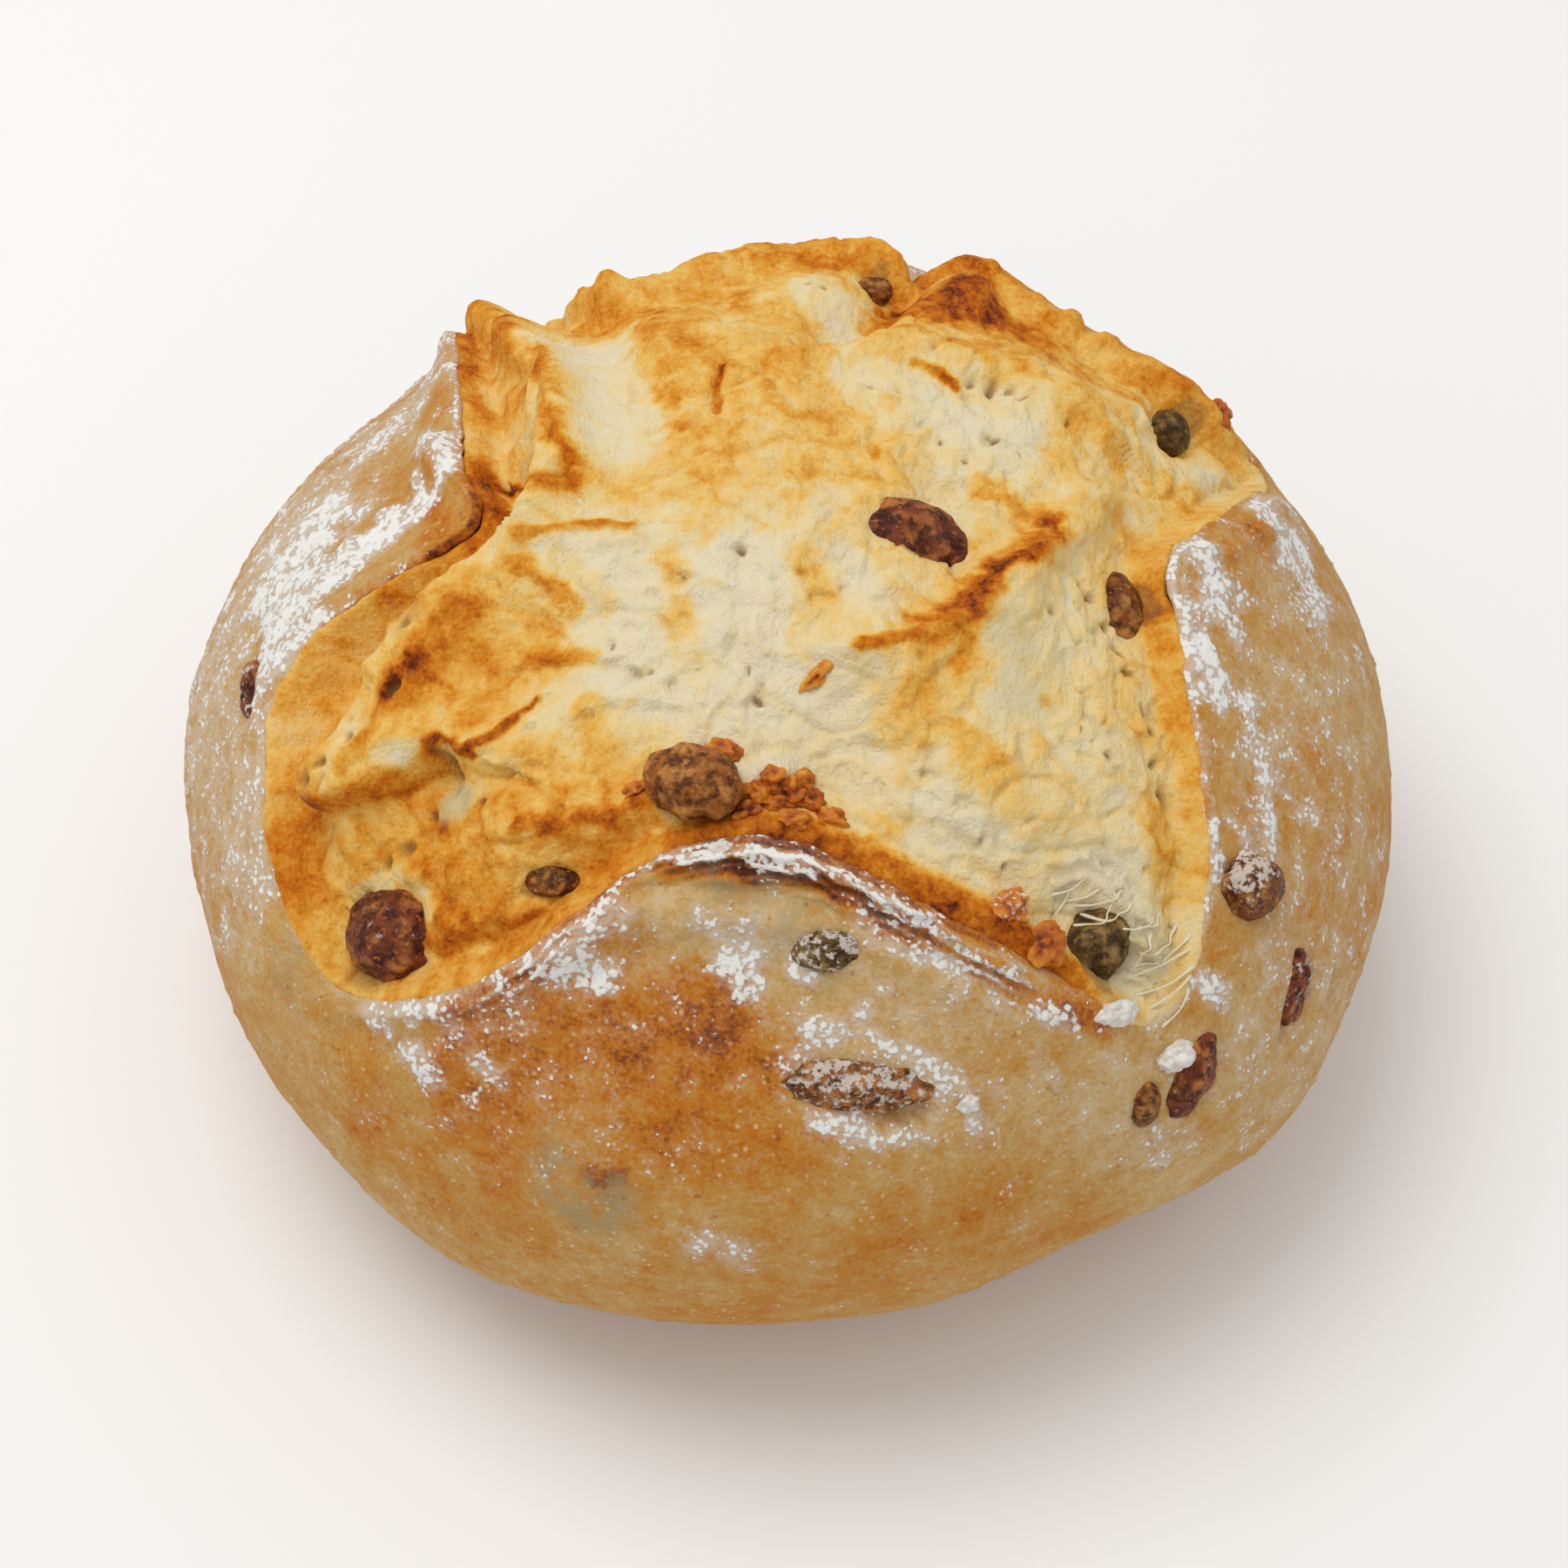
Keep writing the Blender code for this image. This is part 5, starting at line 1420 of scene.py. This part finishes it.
def knob_finish(colours):
    """Crumbs of crust that stuck on and toasted, with painted shade where they dip in."""
    made, shader, places = start_material("baked_knob")
    mottle = places.speckle(0.0014, 4, 0.65)
    level = places.field("toast") + (mottle - 0.5) * 0.6
    colour = level.ramp(
        (
            (0.10, colours.crumb_amber),
            (0.45, colours.crumb_orange),
            (0.75, colours.crumb_toasted),
            (1.00, colours.crumb_dark),
        )
    )
    dust = (places.field("flour") + (places.speckle(0.0009, 3, 0.6) - 0.5) * 1.6).between(0.5, 0.85)
    colour = dust.mix(colour, colours.flour)
    height = mottle * 0.6 + places.speckle(0.0005, 2) * 0.3
    return finish_material(made, shader, colour, dust * 0.3 + 0.5, height.raised(0.0005, 0.8), 0.3)


def strand_finish(colours):
    """Stretched dough, pale and moist."""
    made, shader, places = start_material("dough_string")
    mottle = places.speckle(0.0012, 3, 0.6)
    colour = mottle.between(0.3, 0.7).mix(colours.crumb_cream, colours.crumb_string)
    return finish_material(made, shader, colour, mottle * 0.1 + 0.5, mottle.raised(0.0004, 0.6), 0.3)


def flour_finish(colours):
    made, shader, places = start_material("flour_lump")
    mottle = places.speckle(0.0012, 3, 0.6)
    colour = mottle.between(0.3, 0.75).mix(colours.flour_veil, colours.flour)
    height = mottle * 0.7 + places.speckle(0.0004, 2) * 0.3
    return finish_material(made, shader, colour, mottle * 0.1 + 0.85, height.raised(0.0005, 0.8), 0.2)


def colour(name, description, red, green, blue):
    return bpy.props.FloatVectorProperty(
        name=name, description=description, default=(red, green, blue, 1.0), size=4, subtype="COLOR", min=0, max=1
    )


def count(name, description, default, least, most):
    return bpy.props.IntProperty(name=name, description=description, default=default, min=least, max=most)


def number(name, description, default, least, most, unit="NONE"):
    return bpy.props.FloatProperty(
        name=name, description=description, default=default, min=least, max=most, unit=unit
    )


class BreadSizes(bpy.types.PropertyGroup):
    """The fineness of the pieces and the crust's thickness."""

    crust_columns: count("Crust columns", "Points of the crust round the opening", 720, 96, 1200)
    crust_rows: count("Crust rows", "Rows of the crust from its edge to the foot", 118, 20, 200)
    crumb_spacing: number("Crumb spacing", "Distance between the crumb's points", 0.00055, 0.0004, 0.004, "LENGTH")
    edge_thickness: number(
        "Edge thickness", "Thickness of the crust at its torn edge", 0.0026, 0.001, 0.004, "LENGTH"
    )


class BreadColours(bpy.types.PropertyGroup):
    """The colours of the crust, the crumb, the flour and the olive pieces."""

    crust_pale: colour("Pale crust", "The least baked crust", 0.60, 0.46, 0.32)
    crust_light: colour("Light crust", "Lightly baked crust", 0.60, 0.42, 0.20)
    crust_tan: colour("Tan crust", "Evenly baked crust", 0.54, 0.32, 0.105)
    crust_golden: colour("Golden crust", "Golden brown crust", 0.52, 0.235, 0.04)
    crust_orange: colour("Orange crust", "Orange brown crust", 0.50, 0.155, 0.010)
    crust_brown: colour("Brown crust", "Well baked crust", 0.26, 0.065, 0.014)
    crust_dark: colour("Dark crust", "The darkest crust", 0.085, 0.02, 0.007)
    crust_green: colour("Green tint", "Crust over an olive piece", 0.33, 0.28, 0.15)
    # Painted shade: the colour laid into the crust's creases and beside the olive pieces
    crust_crease_shade: colour("Crease", "Crust in creases and beside olive pieces", 0.17, 0.06, 0.028)
    fleck: colour("Fleck", "Light flecks of the crust", 0.76, 0.58, 0.36)
    flour: colour("Flour", "Thick flour", 0.84, 0.84, 0.80)
    flour_veil: colour("Flour veil", "Thin flour over the crust", 0.64, 0.56, 0.49)
    crumb_cream: colour("Cream crumb", "The palest crumb", 0.76, 0.67, 0.47)
    crumb_string: colour("Dough strings", "Stretched, pale dough", 0.74, 0.69, 0.50)
    crumb_butter: colour("Butter crumb", "Yellowish crumb", 0.79, 0.62, 0.31)
    crumb_gold: colour("Gold crumb", "Golden crumb", 0.80, 0.49, 0.12)
    crumb_amber: colour("Amber crumb", "Deep golden crumb", 0.71, 0.31, 0.034)
    crumb_orange: colour("Orange crumb", "Toasted orange crumb", 0.58, 0.17, 0.008)
    crumb_toasted: colour("Toasted crumb", "Toasted brown crumb", 0.38, 0.075, 0.006)
    crumb_dark: colour("Dark crumb", "The darkest crumb", 0.10, 0.022, 0.006)
    crumb_grey: colour("Grey crumb", "Damp, thin crumb", 0.46, 0.40, 0.22)
    # Painted shade: the colour laid into the crumb's pores, pits and cracks and beside the olive pieces
    hollow: colour("Hollow", "The inside of pores and pits", 0.24, 0.12, 0.035)
    olive_red: colour("Red olive", "Reddish olive flesh", 0.19, 0.042, 0.016)
    olive_brown: colour("Brown olive", "Brown olive flesh", 0.22, 0.062, 0.010)
    olive_green: colour("Green olive", "Green-brown olive flesh", 0.13, 0.064, 0.012)
    olive_toasted: colour("Toasted olive", "Olive flesh that toasted", 0.36, 0.115, 0.022)


class BreadStage(bpy.types.PropertyGroup):
    """The floor, the lights and the camera."""

    floor: colour("Floor", "The plain pale floor", 0.93, 0.93, 0.93)
    floor_size: number("Floor size", "Width of the floor", 6.0, 1, 50, "LENGTH")
    key_power: number("Key power", "Power of the large soft light overhead", 4.6, 0, 99, "POWER")
    sky: number("Sky", "Strength of the even light from all sides", 0.67, 0, 5)
    elevation: number("Elevation", "The camera's angle above the floor", math.radians(53), 0, math.pi / 2, "ROTATION")
    distance: number("Distance", "From the camera to the loaf's middle", 0.52, 0.1, 9, "LENGTH")
    lens: number("Lens", "Focal length in millimetres on a 36 mm wide sensor", 74.7, 10, 300)


def claim(piece, slot, *nodes):
    """The piece rides on the loaf's one body and stands for these nodes, which it hides; the slot is not used."""
    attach(piece, "root")
    if nodes:
        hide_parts(*nodes)


class BREAD_OT_crust(bpy.types.Operator):
    """Makes the baked crust with its torn edge, creases and flour"""

    bl_idname = "bread.crust"
    bl_label = "Crust"

    def execute(self, context):
        points, faces, fields = crust_surface(context.scene.bread_sizes)
        piece = new_piece("loaf_crust", points, faces, fields, crust_finish(context.scene.bread_colours))
        claim(piece, "crust", "loaf")
        return {"FINISHED"}


class BREAD_OT_crumb(bpy.types.Operator):
    """Makes the torn crumb that the crust has burst open over"""

    bl_idname = "bread.crumb"
    bl_label = "Crumb"

    def execute(self, context):
        points, faces, fields = without_unused(*crumb_surface(context.scene.bread_sizes))
        piece = new_piece("loaf_crumb", points, faces, fields, crumb_finish(context.scene.bread_colours))
        claim(piece, "crust", "loaf")
        return {"FINISHED"}


class BREAD_OT_olives(bpy.types.Operator):
    """Makes the wrinkled olive pieces where the model has them"""

    bl_idname = "bread.olives"
    bl_label = "Olive pieces"

    def execute(self, context):
        colours = context.scene.bread_colours
        finishes = {
            look: olive_finish(name, colours, getattr(colours, flesh), (*deep, 1), (*bright, 1))
            for look, (name, flesh, deep, bright) in OLIVE_FINISHES.items()
        }
        for name, olive in OLIVES.items():
            corners = np.array([vertex.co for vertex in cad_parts[name].data.vertices]) / MM
            middle = (corners.min(axis=0) + corners.max(axis=0)) / 2
            points, faces, fields = olive_surface(olive, middle, OLIVE_FLOUR.get(name, (0.0, 0.0)))
            finish = finishes[OLIVE_LOOKS.get(name, olive.finish)]
            piece = new_piece(f"{name}_flesh", points, faces, fields, finish)
            claim(piece, olive.finish, name)
        return {"FINISHED"}


class BREAD_OT_bits(bpy.types.Operator):
    """Makes the toasted knobs and the lumps of flour that stick to the loaf"""

    bl_idname = "bread.bits"
    bl_label = "Baked-on bits"

    def execute(self, context):
        colours = context.scene.bread_colours
        tree = surface_tree("loaf_crust", "loaf_crumb")
        groups = (
            ("baked_knobs", KNOBS, knob_finish(colours), 0.45),
            ("flour_lumps", FLOUR_LUMPS, flour_finish(colours), 0.4),
        )
        for name, group, finish, lumpiness in groups:
            lumps, toast, flour = [], [], []
            for index, knob in enumerate(group):
                made, sides, size = knob_surface(knob, tree, index, lumpiness)
                lumps.append((made, sides))
                # Painted shade: a baked knob is darker where its surface dips in, on top of how toasted it is
                toast.append(0.54 + 0.9 * (1 - size) + 0.1 * (index % 3) + KNOB_TOAST.get(index, 0))
                flour.append(np.full(len(made), 0.5 if index == FLOURY_KNOB else 0.05))
            fields = {"toast": np.concatenate(toast), "flour": np.concatenate(flour)}
            claim(new_piece(name, *joined(lumps), fields, finish), "crust")
        return {"FINISHED"}


class BREAD_OT_strings(bpy.types.Operator):
    """Makes the strings of dough that span the torn crumb"""

    bl_idname = "bread.strings"
    bl_label = "Dough strings"

    def execute(self, context):
        tree = surface_tree("loaf_crust", "loaf_crumb", "olive_right_corner_flesh")
        strings = joined(strand_surface(strand, tree, index) for index, strand in enumerate(STRANDS))
        claim(new_piece("dough_strings", *strings, {}, strand_finish(context.scene.bread_colours)), "crust")
        return {"FINISHED"}


class BREAD_OT_stage(bpy.types.Operator):
    """Sets the floor, the soft lights and the camera"""

    bl_idname = "bread.stage"
    bl_label = "Stage"

    def execute(self, context):
        stage = context.scene.bread_stage
        made, shader, _ = start_material("plain_floor")
        shader.inputs["Base Color"].default_value = stage.floor
        shader.inputs["Roughness"].default_value = 0.9
        half = stage.floor_size / 2 / MM
        corners = np.array([(x * half, y * half, FLOOR_LEVEL) for x, y in ((-1, -1), (1, -1), (1, 1), (-1, 1))])
        new_piece("floor", corners, [(0, 1, 2, 3)], {}, made)

        key = bpy.data.lights.new("key", "AREA")
        key.shape = "DISK"
        key.size = LAMP_SIZE
        key.energy = stage.key_power
        key.color = LAMP_COLOUR
        lamp = bpy.data.objects.new("key", key)
        lamp.location = LAMP_PLACE
        lamp.rotation_euler = (Vector(LAMP_TARGET) - lamp.location).to_track_quat("-Z", "Y").to_euler()
        context.scene.collection.objects.link(lamp)

        world = bpy.data.worlds.new("even_sky")
        world.use_nodes = True
        background = world.node_tree.nodes["Background"]
        background.inputs["Color"].default_value = (1.0, 1.0, 1.0, 1.0)
        background.inputs["Strength"].default_value = stage.sky
        context.scene.world = world

        camera = bpy.data.cameras.new("camera")
        camera.lens = stage.lens
        camera.sensor_width = SENSOR_WIDTH
        eye = bpy.data.objects.new("camera", camera)
        away = Vector((0, -math.cos(stage.elevation), math.sin(stage.elevation))) * stage.distance
        eye.location = Vector(CAMERA_TARGET) * MM + away
        eye.rotation_euler = (math.pi / 2 - stage.elevation, 0, 0)
        context.scene.collection.objects.link(eye)
        context.scene.camera = eye
        context.scene.view_settings.view_transform = "Standard"
        return {"FINISHED"}


class BREAD_PT_tools(bpy.types.Panel):
    """Lists the steps that make the loaf, and the values that they use"""

    bl_idname = "BREAD_PT_tools"
    bl_label = "Olive bread"
    bl_space_type = "VIEW_3D"
    bl_region_type = "UI"
    bl_category = "Bread"

    def draw(self, context):
        for operator in STEPS:
            self.layout.operator(operator.bl_idname)
        for group in (context.scene.bread_sizes, context.scene.bread_colours, context.scene.bread_stage):
            box = self.layout.box()
            for name in group.__annotations__:
                box.prop(group, name)


STEPS = (BREAD_OT_crust, BREAD_OT_crumb, BREAD_OT_olives, BREAD_OT_bits, BREAD_OT_strings, BREAD_OT_stage)
CLASSES = (BreadSizes, BreadColours, BreadStage, *STEPS, BREAD_PT_tools)


def register():
    for made in CLASSES:
        bpy.utils.register_class(made)
    bpy.types.Scene.bread_sizes = bpy.props.PointerProperty(type=BreadSizes)
    bpy.types.Scene.bread_colours = bpy.props.PointerProperty(type=BreadColours)
    bpy.types.Scene.bread_stage = bpy.props.PointerProperty(type=BreadStage)


def unregister():
    for name in ("bread_sizes", "bread_colours", "bread_stage"):
        delattr(bpy.types.Scene, name)
    for made in reversed(CLASSES):
        bpy.utils.unregister_class(made)


def main():
    register()
    steps = bpy.ops.bread
    for step in (steps.crust, steps.crumb, steps.olives, steps.bits, steps.strings, steps.stage):
        step()


if __name__ == "__main__":
    main()
